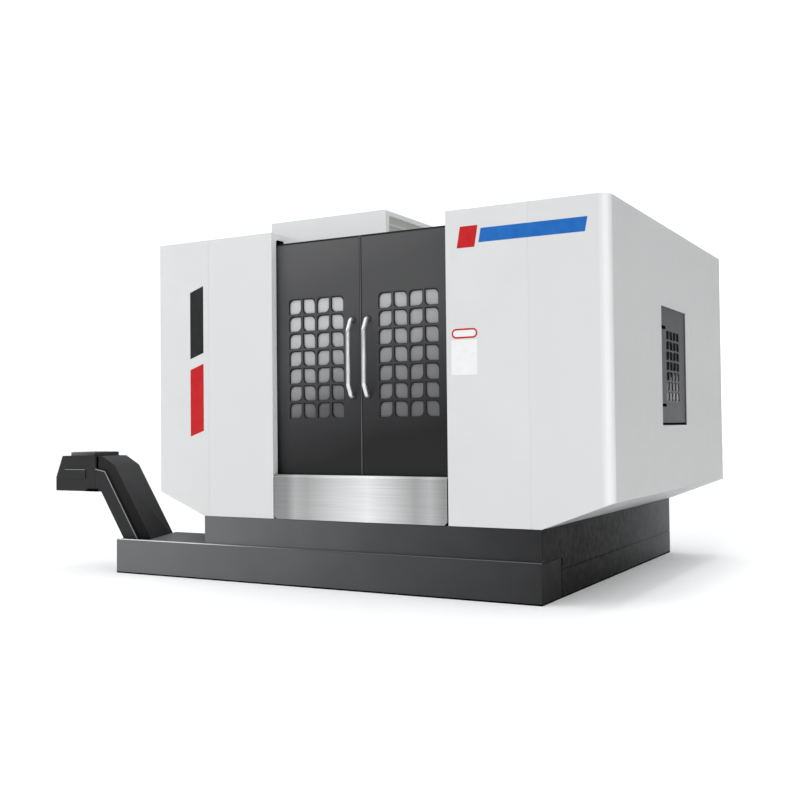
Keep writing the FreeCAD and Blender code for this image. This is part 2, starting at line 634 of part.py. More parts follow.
def handle(side, x):
    """A bowed tube: it leaves the door, slants out to a straight grip and comes back."""
    name = side + "_door_handle"
    owner = body(name)
    half = value("handle_span / 2")
    rise, stand, bend = value("handle_rise"), value("handle_stand"), value("handle_bend")
    stub = value("handle_stub")
    middle = value("handle_foot_z") + half
    face = value("door_front")
    corners = [(face, half), (face - stub, half), (face - stand, half - rise),
               (face - stand, rise - half), (face - stub, -half), (face, -half)]
    path = sketch_on(owner, "YZ", x, name + "_path")
    spots = [V(y, middle - z, 0) for y, z in corners]
    last = spots[0]
    for before, corner, after in zip(spots, spots[1:], spots[2:]):
        into, out = (corner - before).normalize(), (after - corner).normalize()
        turn = into.getAngle(out)
        legs = (corner - before).Length, (after - corner).Length
        reach = min(bend * math.tan(turn / 2), LEG_SHARE * min(legs))
        start, end = corner - into * reach, corner + out * reach
        radius = reach / math.tan(turn / 2)
        inward = (out - into).normalize()
        middle_of_arc = corner + inward * (radius / math.cos(turn / 2) - radius)
        path.addGeometry(Part.LineSegment(last, start))
        path.addGeometry(Part.Arc(start, middle_of_arc, end))
        last = end
    path.addGeometry(Part.LineSegment(last, spots[-1]))
    ring = sketch_on(owner, "XZ", "door_front", name + "_ring")
    circle = ring.addGeometry(Part.Circle(V(value(x), value("handle_foot_z"), 0), V(0, 0, 1),
                                          value("handle_r")))
    rule = ring.addConstraint(Sketcher.Constraint("Radius", circle, value("handle_r")))
    ring.setExpression(f"Constraints[{rule}]", expression("handle_r"))
    pipe = owner.newObject("PartDesign::AdditivePipe", name + "_tube")
    pipe.Profile = ring
    pipe.Spine = (path, [])


def hatch():
    """The window hatch in the right side, its frame with hinge pins, and its two straps."""
    y = ("hatch_front + hatch_gap", "hatch_back - hatch_gap")
    z = ("hatch_z + hatch_gap", "hatch_top - hatch_gap")
    owner = body("side_door")
    pad(owner, "YZ", ("hatch_in", "hatch_out"), rectangle(y, z))
    pocket(owner, "YZ", ("hatch_in", "hatch_out - hatch_skin"),
           rectangle((f"{y[0]} + door_rim", f"{y[1]} - door_rim"),
                     (f"{z[0]} + door_rim", f"{z[1]} - door_rim")))
    corner = ("hatch_front + hatch_grid_y", "hatch_z + hatch_grid_z")
    leaf_grid(owner, "YZ", ("hatch_out - hatch_skin", "hatch_out"), corner,
              ("hatch_leaf_w", "hatch_leaf_h"), ("hatch_pitch_y", "hatch_pitch_z"), "hatch_leaf_r")
    glass_y = (f"{corner[0]} - glass_lap",
               f"{corner[0]} + 3 * hatch_pitch_y + hatch_leaf_w + glass_lap")
    glass_z = (f"{corner[1]} - glass_lap",
               f"{corner[1]} + (leaf_rows - 1) * hatch_pitch_z + hatch_leaf_h + glass_lap")
    node(box("side_door_glass", ("hatch_out - hatch_skin - glass_t", "hatch_out - hatch_skin"),
             glass_y, glass_z), "side_door_glass")
    side_door_frame()
    side_door_hinges()


def side_door_frame():
    """The frame round the hatch, the stop behind it and the two hinge pins in their ears."""
    y, z = ("hatch_front", "hatch_back"), ("hatch_z", "hatch_top")
    wide_y = (f"{y[0]} - hatch_frame", f"{y[1]} + hatch_frame")
    wide_z = (f"{z[0]} - hatch_frame", f"{z[1]} + hatch_frame")
    ring_x = ("hatch_in", "right_edge - sheet")
    stop_x = ("hatch_in - stop_t", "hatch_in")
    ring = cut("ring", box("ring_out", ring_x, wide_y, wide_z), box("ring_in", ring_x, y, z))
    stop = cut("stop", box("stop_out", stop_x, wide_y, wide_z),
               box("stop_in", stop_x, (f"{y[0]} + stop_w", f"{y[1]} - stop_w"),
                   (f"{z[0]} + stop_w", f"{z[1]} - stop_w")))
    pieces = [ring, stop]
    root = "hatch_front - ear_root"
    for at in ("strap_low", "strap_high"):
        low = f"hatch_z + {at} - strap_h / 2"
        high = f"{low} + strap_h"
        pieces.append(rod("pin", "Z", ("pin_x", "pin_y", f"{low} - ear_h"), "pin_r",
                          "strap_h + 2 * ear_h"))
        for ear in ((f"{low} - ear_h", f"{low} - slide_gap"), (f"{high} + slide_gap", f"{high} + ear_h")):
            pieces.append(box("ear", ("pin_x - pin_r", "pin_x + pin_r"), (root, "pin_y + pin_r"), ear))
    notch = box("notch", ("right_edge - sheet", "right_edge"), (root, "hatch_front"), z)
    node(cut("side_frame", fuse("frame_all", *pieces), notch), "side_door_frame")


def side_door_hinges():
    straps = []
    for at in ("strap_low", "strap_high"):
        low = f"hatch_z + {at} - strap_h / 2"
        strap = box("strap", ("hatch_out", "hatch_out + strap_t"),
                    ("pin_y - strap_lap", "pin_y + strap_l"), (low, f"{low} + strap_h"))
        bore = rod("strap_bore", "Z", ("pin_x", "pin_y", low), "pin_r + pin_play", "strap_h")
        straps.append(cut("strap_cut", strap, bore))
    node(group("straps", *straps), "side_door_hinges")


def cabinet():
    """The electrical cabinet inside the rear wall, and its door on two pivot pins."""
    x, z = ("box_x", "box_right"), ("box_bottom", "box_top")
    y = ("rear - sheet - box_depth", "rear - sheet")
    rim_x, rim_z = (f"{x[0]} + box_rim", f"{x[1]} - box_rim"), (f"{z[0]} + box_rim", f"{z[1]} - box_rim")
    seat_y = "rear - box_door_t"
    shell = box("shell", x, y, z)
    hollow = box("hollow", (f"{x[0]} + sheet", f"{x[1]} - sheet"),
                 (f"{y[0]} + sheet", f"{seat_y} - 2 * sheet"), (f"{z[0]} + sheet", f"{z[1]} - sheet"))
    mouth = box("mouth", (f"{rim_x[0]} + pivot_in", rim_x[1]), (f"{y[0]} + sheet", y[1]), rim_z)
    seat = box("seat", rim_x, (seat_y, y[1]), rim_z)
    carcass = cut("carcass", shell, hollow, mouth, seat)
    pins, bores = [], []
    pin_x, pin_y = f"{rim_x[1]} - box_gap - pivot_in", "rear - box_door_t / 2"
    top_pin = f"{rim_z[1]} - pivot_l"
    for start, low in ((rim_z[0], rim_z[0]), (top_pin, f"{top_pin} - pivot_room")):
        pins.append(rod("pivot", "Z", (pin_x, pin_y, start), "pin_r", "pivot_l"))
        bores.append(rod("pivot_bore", "Z", (pin_x, pin_y, low), "pin_r + pin_play",
                         "pivot_l + pivot_room"))
    node(fuse("cabinet_all", carcass, *pins), "electrical_cabinet")
    leaf_x = (f"{rim_x[0]} + box_gap", f"{rim_x[1]} - box_gap")
    leaf_z = (f"{rim_z[0]} + box_end_gap", f"{rim_z[1]} - box_end_gap")
    slab = box("cabinet_leaf", leaf_x, (seat_y, "rear"), leaf_z)
    node(cut("cabinet_leaf_cut", slab, *bores), "cabinet_door")


# ---------------------------------------------------------------- chip conveyor
def upper_line(z):
    """Where the climbing case's upper face is at a height."""
    return f"(climb_foot - (({z}) - tank_top) / tan(climb_deg))"


def lower_line(z):
    return f"({upper_line(z)} - case_h)"


def conveyor_case():
    """The trough in the tank and the closed case that climbs from it to the head."""
    owner = body("conveyor_case")
    y = ("front + case_front", "front + case_back")
    right, top, bottom = "left_edge + pan_right", "head_top", "head_bottom"
    pad(owner, "XZ", y,
        [(lower_line("pan_floor"), "pan_floor"), (right, "pan_floor"), (right, "pan_top"),
         (upper_line("pan_top"), "pan_top"), ("bend_right", "bend_z"),
         ("bend_right - bend_run", top), ("head_right", top), ("head_right", bottom),
         (lower_line(bottom), bottom)])
    wall = "case_wall"
    slant = f"{wall} / sin(climb_deg)"
    floor, ceiling = f"pan_floor + {wall}", f"{top} - {wall}"
    pocket(owner, "XZ", (f"{y[0]} + {wall}", f"{y[1]} - {wall}"),
           [(f"{lower_line(floor)} + {slant}", floor), (f"{right} - {wall}", floor),
            (f"{right} - {wall}", "pan_top"), (f"{upper_line('pan_top')} - {slant}", "pan_top"),
            (f"bend_right - {slant}", "bend_z"), (f"bend_right - bend_run - {wall}", ceiling),
            ("head_right", ceiling), ("head_right", f"{bottom} + {wall}"),
            (f"{lower_line(f'{bottom} + {wall}')} + {slant}", f"{bottom} + {wall}")])


def conveyor_side_plates():
    """Flanged plates along both sides of the climbing case."""
    plates = []
    low, high = "tank_top", "head_bottom"
    bend = "head_top - side_drop - side_slope"
    for name, y in (("front", ("front + head_y", "front + case_front")),
                    ("back", ("front + case_back", "front + head_back"))):
        owner = doc.addObject("PartDesign::Body", "climb_plate_" + name)
        pad(owner, "XZ", y,
            [(lower_line(low), low), (f"{lower_line(low)} + plate_h", low),
             (f"{lower_line(bend)} + plate_h", bend), ("head_right", "head_top - side_drop"),
             ("head_right", high), (lower_line(high), high)])
        plates.append(owner)
    node(group("climb_plates", *plates), "conveyor_side_plates")


def conveyor_head():
    """The head box: drum bearings in its sides, chips fall out of its floor."""
    owner = body("conveyor_head")
    y = ("front + head_y", "front + head_back")
    left, right, top, bottom, nose = "head_left", "head_right", "head_top", "head_bottom", "head_nose"
    pad(owner, "XZ", y,
        [(left, bottom), (right, bottom), (right, top), (f"{left} + head_chamfer", top), (left, nose)])
    wall = "case_wall"
    inner = (f"front + case_front + {wall}", f"front + case_back - {wall}")
    pocket(owner, "XZ", inner,
           [(f"{left} + {wall}", f"{bottom} + {wall}"), (right, f"{bottom} + {wall}"),
            (right, f"{top} - {wall}"), (f"{left} + head_chamfer + {wall} / 2", f"{top} - {wall}"),
            (f"{left} + {wall}", nose)])
    pocket(owner, "XY", (bottom, f"{bottom} + {wall}"),
           rectangle((f"{left} + chute_in", f"{left} + chute_in + discharge_w"), inner))
    raised = owner.newObject("PartDesign::Pad", "bearing_plate")
    raised.Profile = draw(sketch_on(owner, "XZ", f"{y[0]} - plate_t", "bearing_outline"),
                          rectangle(("left_edge - plate_left", "left_edge - plate_right"),
                                    ("plate_low", "plate_high")))
    raised.Reversed = True
    bind(raised, Length="plate_t")
    ring = sketch_on(owner, "XZ", f"{y[0]} + {wall}", "shaft_ring")
    draw_circle(ring, "drum_at", "drum_z", "shaft_r + pin_play")
    hole = owner.newObject("PartDesign::Pocket", "shaft_bore")
    hole.Profile = ring
    bind(hole, Length=f"head_back - head_y - 2 * {wall}")


def conveyor_lid():
    node(box("lid", ("left_edge - lid_left", "left_edge - lid_right"),
             ("front + head_y + lid_inset", "front + head_back - lid_inset"),
             ("head_top", "head_top + lid_h")), "conveyor_lid")


def belt_outline(half):
    """The loop of the belt at a distance from the line through its two runs."""
    low, high = "belt_z", "drum_z"
    foot = f"({upper_line(low)} - case_h / 2 - belt_in)"
    crest = f"({foot} - (drum_z - belt_z) / tan(climb_deg))"
    lean = f"({half}) / tan(climb_deg)"
    across = f"({half}) / sin(climb_deg)"
    right = "left_edge + pan_right - belt_end"
    return [("drum_at", f"{high} - {half}"), (f"{crest} + {lean} - {across}", f"{high} - {half}"),
            (f"{foot} + {lean} - {across}", f"{low} - {half}"), (right, f"{low} - {half}"),
            (f"{right} + {half}", low), (right, f"{low} + {half}"),
            (f"{foot} - {lean} + {across}", f"{low} + {half}"),
            (f"{crest} - {lean} + {across}", f"{high} + {half}"), ("drum_at", f"{high} + {half}"),
            (f"drum_at - {half}", high)]


def conveyor_belt():
    owner = body("conveyor_belt")
    y = ("front + belt_front", "front + belt_back")
    outer, inner = "(drum_r + slide_gap + belt_t)", "(drum_r + slide_gap)"
    pad(owner, "XZ", y, belt_outline(outer), dict.fromkeys((3, 4, 8, 9), outer))
    pocket(owner, "XZ", y, belt_outline(inner), dict.fromkeys((3, 4, 8, 9), inner))


def conveyor_drum():
    """The drum that drives the belt, on a shaft that runs in the head's sides."""
    drum = rod("drum_shell", "Y", ("drum_at", "front + belt_front", "drum_z"), "drum_r",
               "belt_back - belt_front")
    start = "front + head_y + case_wall + shaft_end"
    shaft = rod("drum_shaft", "Y", ("drum_at", start, "drum_z"), "shaft_r",
                "head_back - head_y - 2 * case_wall - 2 * shaft_end")
    node(fuse("drum", drum, shaft), "conveyor_drum")


# ---------------------------------------------------------------- axes
def guide_rails():
    """Linear rails: two along Y under the column and two along X under the table."""
    z = ("bed_top", "guide_top")
    rails = []
    for x in ("column_left + guide_inset", "column_face - guide_inset - rail_w"):
        rails.append(box("y_rail", (x, f"{x} + rail_w"),
                         ("front + guide_y_from", "front + guide_y_to"), z))
    for y in ("table_at_y - saddle_w / 2 + guide_inset",
              "table_at_y + saddle_w / 2 - guide_inset - rail_w"):
        rails.append(box("x_rail", ("left_edge + guide_x_from", "left_edge + guide_x_to"),
                         (y, f"{y} + rail_w"), z))
    node(group("rails_all", *rails), "guide_rails")


def shoe(name, along, start, across, low):
    """A guide carriage that straddles a rail with a small running gap."""
    outer = (f"{across} - shoe_side", f"{across} + rail_w + shoe_side")
    inner = (f"{across} - slide_gap", f"{across} + rail_w + slide_gap")
    run = (start, f"{start} + shoe_l")
    tall = (f"{low} + shoe_low", "slide_z")
    slot = (f"{low} + shoe_low", "guide_top + slide_gap")
    if along == "Y":
        return cut(name, box(name + "_b", outer, run, tall), box(name + "_s", inner, run, slot))
    return cut(name, box(name + "_b", run, outer, tall), box(name + "_s", run, inner, slot))


def column():
    """The travelling column: a hollow casting on four carriages, with the screw nut below it."""
    y = ("column_y", "column_y + column_depth")
    wall = "column_wall"
    block = box("column_block", ("column_left", "column_face"), y, ("slide_z", "column_top"))
    hollow = box("column_hollow", (f"column_left + {wall}", f"column_face - {wall}"),
                 (f"{y[0]} + {wall}", f"{y[1]} - {wall}"),
                 ("slide_z + column_floor", f"column_top - {wall}"))
    window = box("column_window", ("column_left", f"column_left + {wall}"),
                 (f"{y[0]} + window_side", f"{y[1]} - window_side"),
                 ("slide_z + window_end", "column_top - window_end"))
    nut = box("column_nut", ("screw_x - nut_w / 2", "screw_x + nut_w / 2"),
              ("spindle_at - nut_w / 2", "spindle_at + nut_w / 2"), ("bed_top + nut_gap", "slide_z"))
    bore = rod("column_nut_bore", "Y", ("screw_x", "spindle_at - nut_w / 2", "screw_z"),
               "screw_r + screw_play", "nut_w")
    lugs = []
    for z in ("head_rail_low - block_l", "head_rail_high"):
        lug = box("z_lug", ("column_face", "z_screw_x + z_lug_out"),
                  ("spindle_at - block_w / 2", "spindle_at + block_w / 2"), (z, f"{z} + block_l"))
        hole = rod("z_lug_bore", "Z", ("z_screw_x", "spindle_at", z), "screw_r + screw_play", "block_l")
        lugs.append(cut("z_lug_cut", lug, hole))
    casting = cut("column_cut", block, hollow, window)
    node(fuse("column_all", casting, cut("nut_cut", nut, bore), *lugs), "column")
    shoes = []
    for x in ("column_left + guide_inset", "column_face - guide_inset - rail_w"):
        for start in (f"{y[0]} + shoe_inset", f"{y[1]} - shoe_inset - shoe_l"):
            shoes.append(shoe("y_shoe", "Y", start, x, "bed_top"))
    node(group("y_shoes", *shoes), "column_carriages")
    rails = []
    for side in head_rails():
        rails.append(box("z_rail", ("column_face", "column_face + guide_h"), (side, f"{side} + rail_w"),
                         ("head_rail_low", "head_rail_high")))
    node(group("z_rails", *rails), "vertical_rails")


def head_rails():
    """Where each of the two vertical rails starts, across the column's face."""
    return [f"spindle_at {sign} head_rail_gap / 2 - rail_w / 2" for sign in ("-", "+")]


def z_motor():
    """The vertical drive's motor on the column top, coupled straight to its screw."""
    top = "column_top"
    case_z = f"{top} + z_plate_t"
    plate = box("z_plate", ("column_face - z_plate_back", "z_screw_x + motor_w / 2"),
                ("spindle_at - z_plate_w / 2", "spindle_at + z_plate_w / 2"), (top, case_z))
    hole = rod("z_plate_hole", "Z", ("z_screw_x", "spindle_at", top), "screw_r + z_plate_room",
               "z_plate_t")
    motor = box("z_case", ("z_screw_x - motor_w / 2", "z_screw_x + motor_w / 2"),
                ("spindle_at - motor_w / 2", "spindle_at + motor_w / 2"),
                (case_z, f"{case_z} + z_motor_h"))
    node(fuse("z_motor_all", cut("z_plate_cut", plate, hole), motor), "vertical_motor")


def headstock():
    """The headstock: a casting on the vertical rails with the spindle bore along X."""
    y = ("spindle_at - head_block_w / 2", "spindle_at + head_block_w / 2")
    z = ("spindle_z - head_block_h / 2", "spindle_z + head_block_h / 2")
    block = box("head_block", ("head_back_x", "head_front_x"), y, z)
    nose = rod("head_nose_part", "X", ("head_front_x", "spindle_at", "spindle_z"), "nose_r", "nose_l")
    bore = rod("head_bore", "X", ("nose_x + spindle_out - spindle_l", "spindle_at", "spindle_z"),
               "spindle_r + pin_play", "spindle_l")
    nut_z = "spindle_z + head_nut_z"
    nut = box("head_nut", ("column_face + head_nut_gap", "head_back_x"),
              ("spindle_at - nut_w / 2", "spindle_at + nut_w / 2"), (nut_z, f"{nut_z} + nut_w"))
    nut_bore = rod("head_nut_bore", "Z", ("z_screw_x", "spindle_at", nut_z), "screw_r + screw_play",
                   "nut_w")
    casting = cut("head_cut", fuse("head_sum", block, nose), bore)
    node(fuse("head_all", casting, cut("head_nut_cut", nut, nut_bore)), "headstock")
    shoes = []
    back = "column_face + shoe_low"
    for side in head_rails():
        wide = (f"{side} - shoe_side", f"{side} + rail_w + shoe_side")
        narrow = (f"{side} - slide_gap", f"{side} + rail_w + slide_gap")
        for low in (f"{z[0]} + head_shoe_inset", f"{z[1]} - head_shoe_inset - shoe_l"):
            tall = (low, f"{low} + shoe_l")
            outer = box("z_shoe_b", (back, "head_back_x"), wide, tall)
            slot = box("z_shoe_s", (back, "column_face + guide_h + slide_gap"), narrow, tall)
            shoes.append(cut("z_shoe", outer, slot))
    node(group("z_shoes", *shoes), "headstock_carriages")


def spindle():
    """The spindle: a steel shaft with a tapered socket for the tool."""
    tip = "nose_x + spindle_out"
    shaft = rod("spindle_shaft", "X", (f"{tip} - spindle_l", "spindle_at", "spindle_z"), "spindle_r",
                "spindle_l")
    socket = rod("spindle_socket", "X", (f"{tip} - taper_l", "spindle_at", "spindle_z"),
                 "taper_end_r", "taper_l", "taper_r")
    node(cut("spindle_cut", shaft, socket), "spindle")


def screws():
    """The three ball screws, the bed's bearing blocks and the two motors behind them."""
    y_ends = ("front + guide_y_from + block_inset", "front + guide_y_to - block_inset")
    x_ends = ("left_edge + guide_x_from + block_inset", "left_edge + guide_x_to - block_inset")
    node(rod("y_screw", "Y", ("screw_x", f"{y_ends[0]} + screw_end", "screw_z"), "screw_r",
             f"({y_ends[1]}) - ({y_ends[0]}) - 2 * screw_end"), "column_screw")
    node(rod("x_screw", "X", (f"{x_ends[0]} + screw_end", "table_at_y", "screw_z"), "screw_r",
             f"({x_ends[1]}) - ({x_ends[0]}) - 2 * screw_end"), "table_screw")
    foot = "(head_rail_low - block_l + screw_end)"
    node(rod("z_screw", "Z", ("z_screw_x", "spindle_at", foot), "screw_r",
             f"column_top + z_plate_t - tip_gap - {foot}"), "headstock_screw")
    blocks = []
    z = ("bed_top", "bed_top + block_h")
    for start in (y_ends[0], f"{y_ends[1]} - block_l"):
        block = box("y_block", ("screw_x - block_w / 2", "screw_x + block_w / 2"),
                    (start, f"{start} + block_l"), z)
        bore = rod("y_block_bore", "Y", ("screw_x", start, "screw_z"), "screw_r + screw_play", "block_l")
        blocks.append(cut("y_block_cut", block, bore))
    for start in (x_ends[0], f"{x_ends[1]} - block_l"):
        block = box("x_block", (start, f"{start} + block_l"),
                    ("table_at_y - block_w / 2", "table_at_y + block_w / 2"), z)
        bore = rod("x_block_bore", "X", (start, "table_at_y", "screw_z"), "screw_r + screw_play",
                   "block_l")
        blocks.append(cut("x_block_cut", block, bore))
    node(group("blocks", *blocks), "screw_bearings")
    tall = ("bed_top", "bed_top + motor_w")
    y_motor = box("y_motor", ("screw_x - motor_w / 2", "screw_x + motor_w / 2"),
                  (f"{y_ends[0]} - motor_l", y_ends[0]), tall)
    x_motor = box("x_motor", (f"{x_ends[0]} - motor_l", x_ends[0]),
                  ("table_at_y - motor_w / 2", "table_at_y + motor_w / 2"), tall)
    node(group("motors", y_motor, x_motor), "axis_motors")


def table():
    """The saddle on its carriages, the rotary table and the pallet with its T slots."""
    x = ("table_at_x - saddle_l / 2", "table_at_x + saddle_l / 2")
    y = ("table_at_y - saddle_w / 2", "table_at_y + saddle_w / 2")
    block = box("saddle_block", x, y, ("slide_z", "saddle_top"))
    nut = box("saddle_nut", ("table_at_x - nut_w / 2", "table_at_x + nut_w / 2"),
              ("table_at_y - nut_w / 2", "table_at_y + nut_w / 2"), ("bed_top + nut_gap", "slide_z"))
    bore = rod("saddle_nut_bore", "X", ("table_at_x - nut_w / 2", "table_at_y", "screw_z"),
               "screw_r + screw_play", "nut_w")
    node(fuse("saddle_all", block, cut("saddle_nut_cut", nut, bore)), "table_saddle")
    shoes = []
    for across in (f"{y[0]} + guide_inset", f"{y[1]} - guide_inset - rail_w"):
        for start in (f"{x[0]} + shoe_inset", f"{x[1]} - shoe_inset - shoe_l"):
            shoes.append(shoe("x_shoe", "X", start, across, "bed_top"))
    node(group("x_shoes", *shoes), "table_carriages")
    disc = rod("table_disc", "Z", ("table_at_x", "table_at_y", "saddle_top"), "table_r", "table_h")
    hub = rod("table_hub", "Z", ("table_at_x", "table_at_y", "table_top"), "hub_r", "hub_h")
    node(fuse("table_all", disc, hub), "rotary_table")
    pallet()


def pallet():
    """The pallet: five slots across it and a tapped hole near each corner."""
    half = "pallet_w / 2"
    across = (f"table_at_x - {half}", f"table_at_x + {half}")
    owner = body("pallet")
    pad(owner, "XY", ("pallet_low", "pallet_top"),
        rectangle(across, (f"table_at_y - {half}", f"table_at_y + {half}")))
    for step in (-2, -1, 0, 1, 2):
        y = f"table_at_y + ({step}) * slot_pitch"
        pocket(owner, "XY", ("pallet_top - slot_h", "pallet_top"),
               rectangle(across, (f"{y} - slot_w / 2", f"{y} + slot_w / 2")))
    for side_x in ("-", "+"):
        for side_y in ("-", "+"):
            ring = sketch_on(owner, "XY", "pallet_top", "bolt_ring")
            draw_circle(ring, f"table_at_x {side_x} pallet_hole_pitch / 2",
                        f"table_at_y {side_y} pallet_hole_pitch / 2", "pallet_hole_r")
            hole = owner.newObject("PartDesign::Pocket", "bolt_hole")
            hole.Profile = ring
            bind(hole, Length="pallet_h")


# ---------------------------------------------------------------- tools
def magazine():
    """The tool magazine: a disc of tools on an axle, and the change arm beside it."""
    at = ("magazine_at_x", "magazine_at_y", "magazine_z")
    disc = rod("disc", "X", at, "magazine_r", "magazine_t")
    bore = rod("disc_bore", "X", at, "axle_r + pin_play", "magazine_t")
    node(cut("disc_cut", disc, bore), "tool_magazine")
    tools = []
    count = int(value("tool_count"))
    for index in range(count):
        turn = index * 360 / count
        y = f"magazine_at_y + pocket_pcr * cos({turn})"
        z = f"magazine_z + pocket_pcr * sin({turn})"
        holder = rod("holder", "X", ("holder_x", y, z), "tool_r", "holder_l")
        shank = rod("shank", "X", ("holder_x + holder_l", y, z), "shank_r", "shank_l")
        tools.append(fuse("tool", holder, shank))
    node(group("tools_all", *tools), "stored_tools")
    pivot = ("arm_at_x", "arm_at_y", "magazine_z")
    node(group("stand_all", post(at, "stand_w", "magazine_t"), post(pivot, "arm_post", "arm_t")),
         "magazine_stand")
    change_arm(pivot)


def post(at, wide, held):
    """A post on the bed with an axle along +X that carries something as thick as held."""
    x0 = f"{at[0]} - stand_t - slide_gap"
    block = box("post", (x0, f"{at[0]} - slide_gap"), (f"{at[1]} - {wide} / 2", f"{at[1]} + {wide} / 2"),
                ("bed_top", f"{at[2]} + {wide} / 2"))
    return fuse("post_all", block, rod("axle", "X", (x0, at[1], at[2]), "axle_r", f"stand_t + {held}"))


def change_arm(pivot):
    """The arm that swaps tools: two open grippers at the ends of a bar."""
    x, y, z = pivot
    bar = box("arm_bar", (x, f"{x} + arm_t"), (f"{y} - arm_w / 2", f"{y} + arm_w / 2"),
              (f"{z} - arm_reach", f"{z} + arm_reach"))
    hub = rod("arm_hub", "X", pivot, "arm_hub_r", "arm_t")
    holes = [rod("arm_bore", "X", pivot, "axle_r + pin_play", "arm_t")]
    for sign in ("-", "+"):
        holes.append(rod("grip", "X", (x, y, f"{z} {sign} arm_reach"), "tool_r", "arm_t"))
    node(cut("arm_cut", fuse("arm_sum", bar, hub), *holes), "tool_change_arm")


# ---------------------------------------------------------------- build, check and write
base_frame()
bed()
levelling_feet()
coolant_tank()
for side in ("left", "right"):
    front_panel(side)
    corner_cover(side)
    side_cover(side)
    underside_cover(side)
door_wall()
door_rails()
kick_panel()
roof()
hood()
rear_cover()
for side in ("left", "right"):
    door(side)
hatch()
cabinet()
conveyor_case()
conveyor_side_plates()
conveyor_head()
conveyor_lid()
conveyor_belt()
conveyor_drum()
guide_rails()
column()
z_motor()
headstock()
spindle()
screws()
table()
magazine()
doc.recompute()

for item in doc.Objects:
    if {"Invalid", "Error"} & set(item.State):
        raise RuntimeError(f"{item.Label} failed: {item.State}")
for item in nodes:
    if item.Shape.isNull() or not item.Shape.isValid():
        raise RuntimeError(f"{item.Label} has no valid shape")

os.makedirs("parts", exist_ok=True)
for item in nodes:
    item.Shape.exportStep(os.path.join("parts", item.Label + ".step"))
    print(f"{item.Label}: {len(item.Shape.Solids)} solids, {item.Shape.Volume / 1e6:.2f} litres")
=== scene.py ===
# %% [markdown]
# # A horizontal machining centre
#
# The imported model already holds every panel, casting and shaft at its real size. This lesson gives
# each its finish, rounds the edges that catch the light, adds the small things that a maker fits
# last, and sets up the studio. Everything is in metres, in the same frame as the model.

# %% Load the model
import json
import math

import bmesh
import bpy
from mathutils import Matrix, Vector


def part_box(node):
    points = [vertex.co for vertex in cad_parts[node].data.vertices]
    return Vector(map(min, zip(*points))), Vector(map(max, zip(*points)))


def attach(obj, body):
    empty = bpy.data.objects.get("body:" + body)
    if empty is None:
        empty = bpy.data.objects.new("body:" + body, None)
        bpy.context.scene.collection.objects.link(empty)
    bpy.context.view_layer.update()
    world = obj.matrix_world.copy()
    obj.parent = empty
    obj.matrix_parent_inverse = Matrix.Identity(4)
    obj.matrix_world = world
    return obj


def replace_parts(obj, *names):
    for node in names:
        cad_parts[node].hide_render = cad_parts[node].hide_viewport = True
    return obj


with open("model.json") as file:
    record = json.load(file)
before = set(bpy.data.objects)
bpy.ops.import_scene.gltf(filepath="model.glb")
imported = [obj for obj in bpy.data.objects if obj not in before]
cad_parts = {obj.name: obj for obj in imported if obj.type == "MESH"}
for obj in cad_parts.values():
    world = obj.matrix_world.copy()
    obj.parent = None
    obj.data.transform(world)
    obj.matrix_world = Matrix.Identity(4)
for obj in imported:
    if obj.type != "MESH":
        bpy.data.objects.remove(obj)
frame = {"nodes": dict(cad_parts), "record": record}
scene = bpy.context.scene


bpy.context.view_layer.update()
rides_on = {node: body for body, nodes in frame["record"]["behaviour"]["bodies"].items() for node in nodes}
MM = 0.001

# %% [markdown]
# ## Where things are
#
# A maker measures a machine from its datum faces. Here they are the enclosure's front, its two
# ends, its roof and the door opening, and all of them are read from the model's own pieces.

# %% Find the datum faces
left_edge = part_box("left_side_cover")[0][0]
right_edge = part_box("right_side_cover")[1][0]
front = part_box("left_corner_cover")[0][1]
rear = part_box("rear_cover")[1][1]
cabinet_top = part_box("rear_cover")[1][2]
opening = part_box("left_front_panel")[1][0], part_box("right_front_panel")[0][0]
door_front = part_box("left_door")[0][1]
bed_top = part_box("bed")[1][2]
print(f"enclosure {right_edge - left_edge:.2f} by {rear - front:.2f} by {cabinet_top:.2f} m")

# %% [markdown]
# ## The camera
#
# The viewer stands in front of the right-hand cabinet, a little below the middle of the machine,
# and looks half left, so that the front runs away to the conveyor and the right side shows as a
# narrow wedge. A camera's own axes are worked out from where it looks and how far it leans.

# %% Set the camera
eye = Vector((left_edge + 6.301, front - 6.977, 1.292))
turn, tip, lean = (math.radians(a) for a in (29.12, 1.418, -0.597))
forward = Vector((-math.sin(turn) * math.cos(tip), math.cos(turn) * math.cos(tip), math.sin(tip)))
level = Vector((math.cos(turn), math.sin(turn), 0))
above = level.cross(forward)
side = level * math.cos(lean) + above * math.sin(lean)
up = above * math.cos(lean) - level * math.sin(lean)
camera_data = bpy.data.cameras.new("camera")
camera_data.sensor_width = 36
camera_data.lens = 46.88
camera_data.clip_end = 200
camera = bpy.data.objects.new("camera", camera_data)
camera.matrix_world = Matrix([(*row, at) for *row, at in zip(side, up, -forward, eye)] + [(0, 0, 0, 1)])
scene.collection.objects.link(camera)
scene.camera = camera
print("camera at", [round(n, 2) for n in eye])

# %% [markdown]
# ## Nodes, colours and materials
#
# Every finish below is a small network of nodes. One function adds a node with its settings and its
# links, one turns the hex colour that a paint chart gives into the linear numbers that a shader
# wants, and one starts a material with just its shader.

# %% Helpers for materials


def add(tree, kind, inputs=None, **settings):
    """Add one node. Settings are its properties; inputs give each socket a value or a link."""
    made = tree.nodes.new("ShaderNode" + kind)
    for name, value in settings.items():
        setattr(made, name, value)
    for name, value in (inputs or {}).items():
        if isinstance(value, bpy.types.NodeSocket):
            tree.links.new(value, made.inputs[name])
        else:
            made.inputs[name].default_value = value
    return made


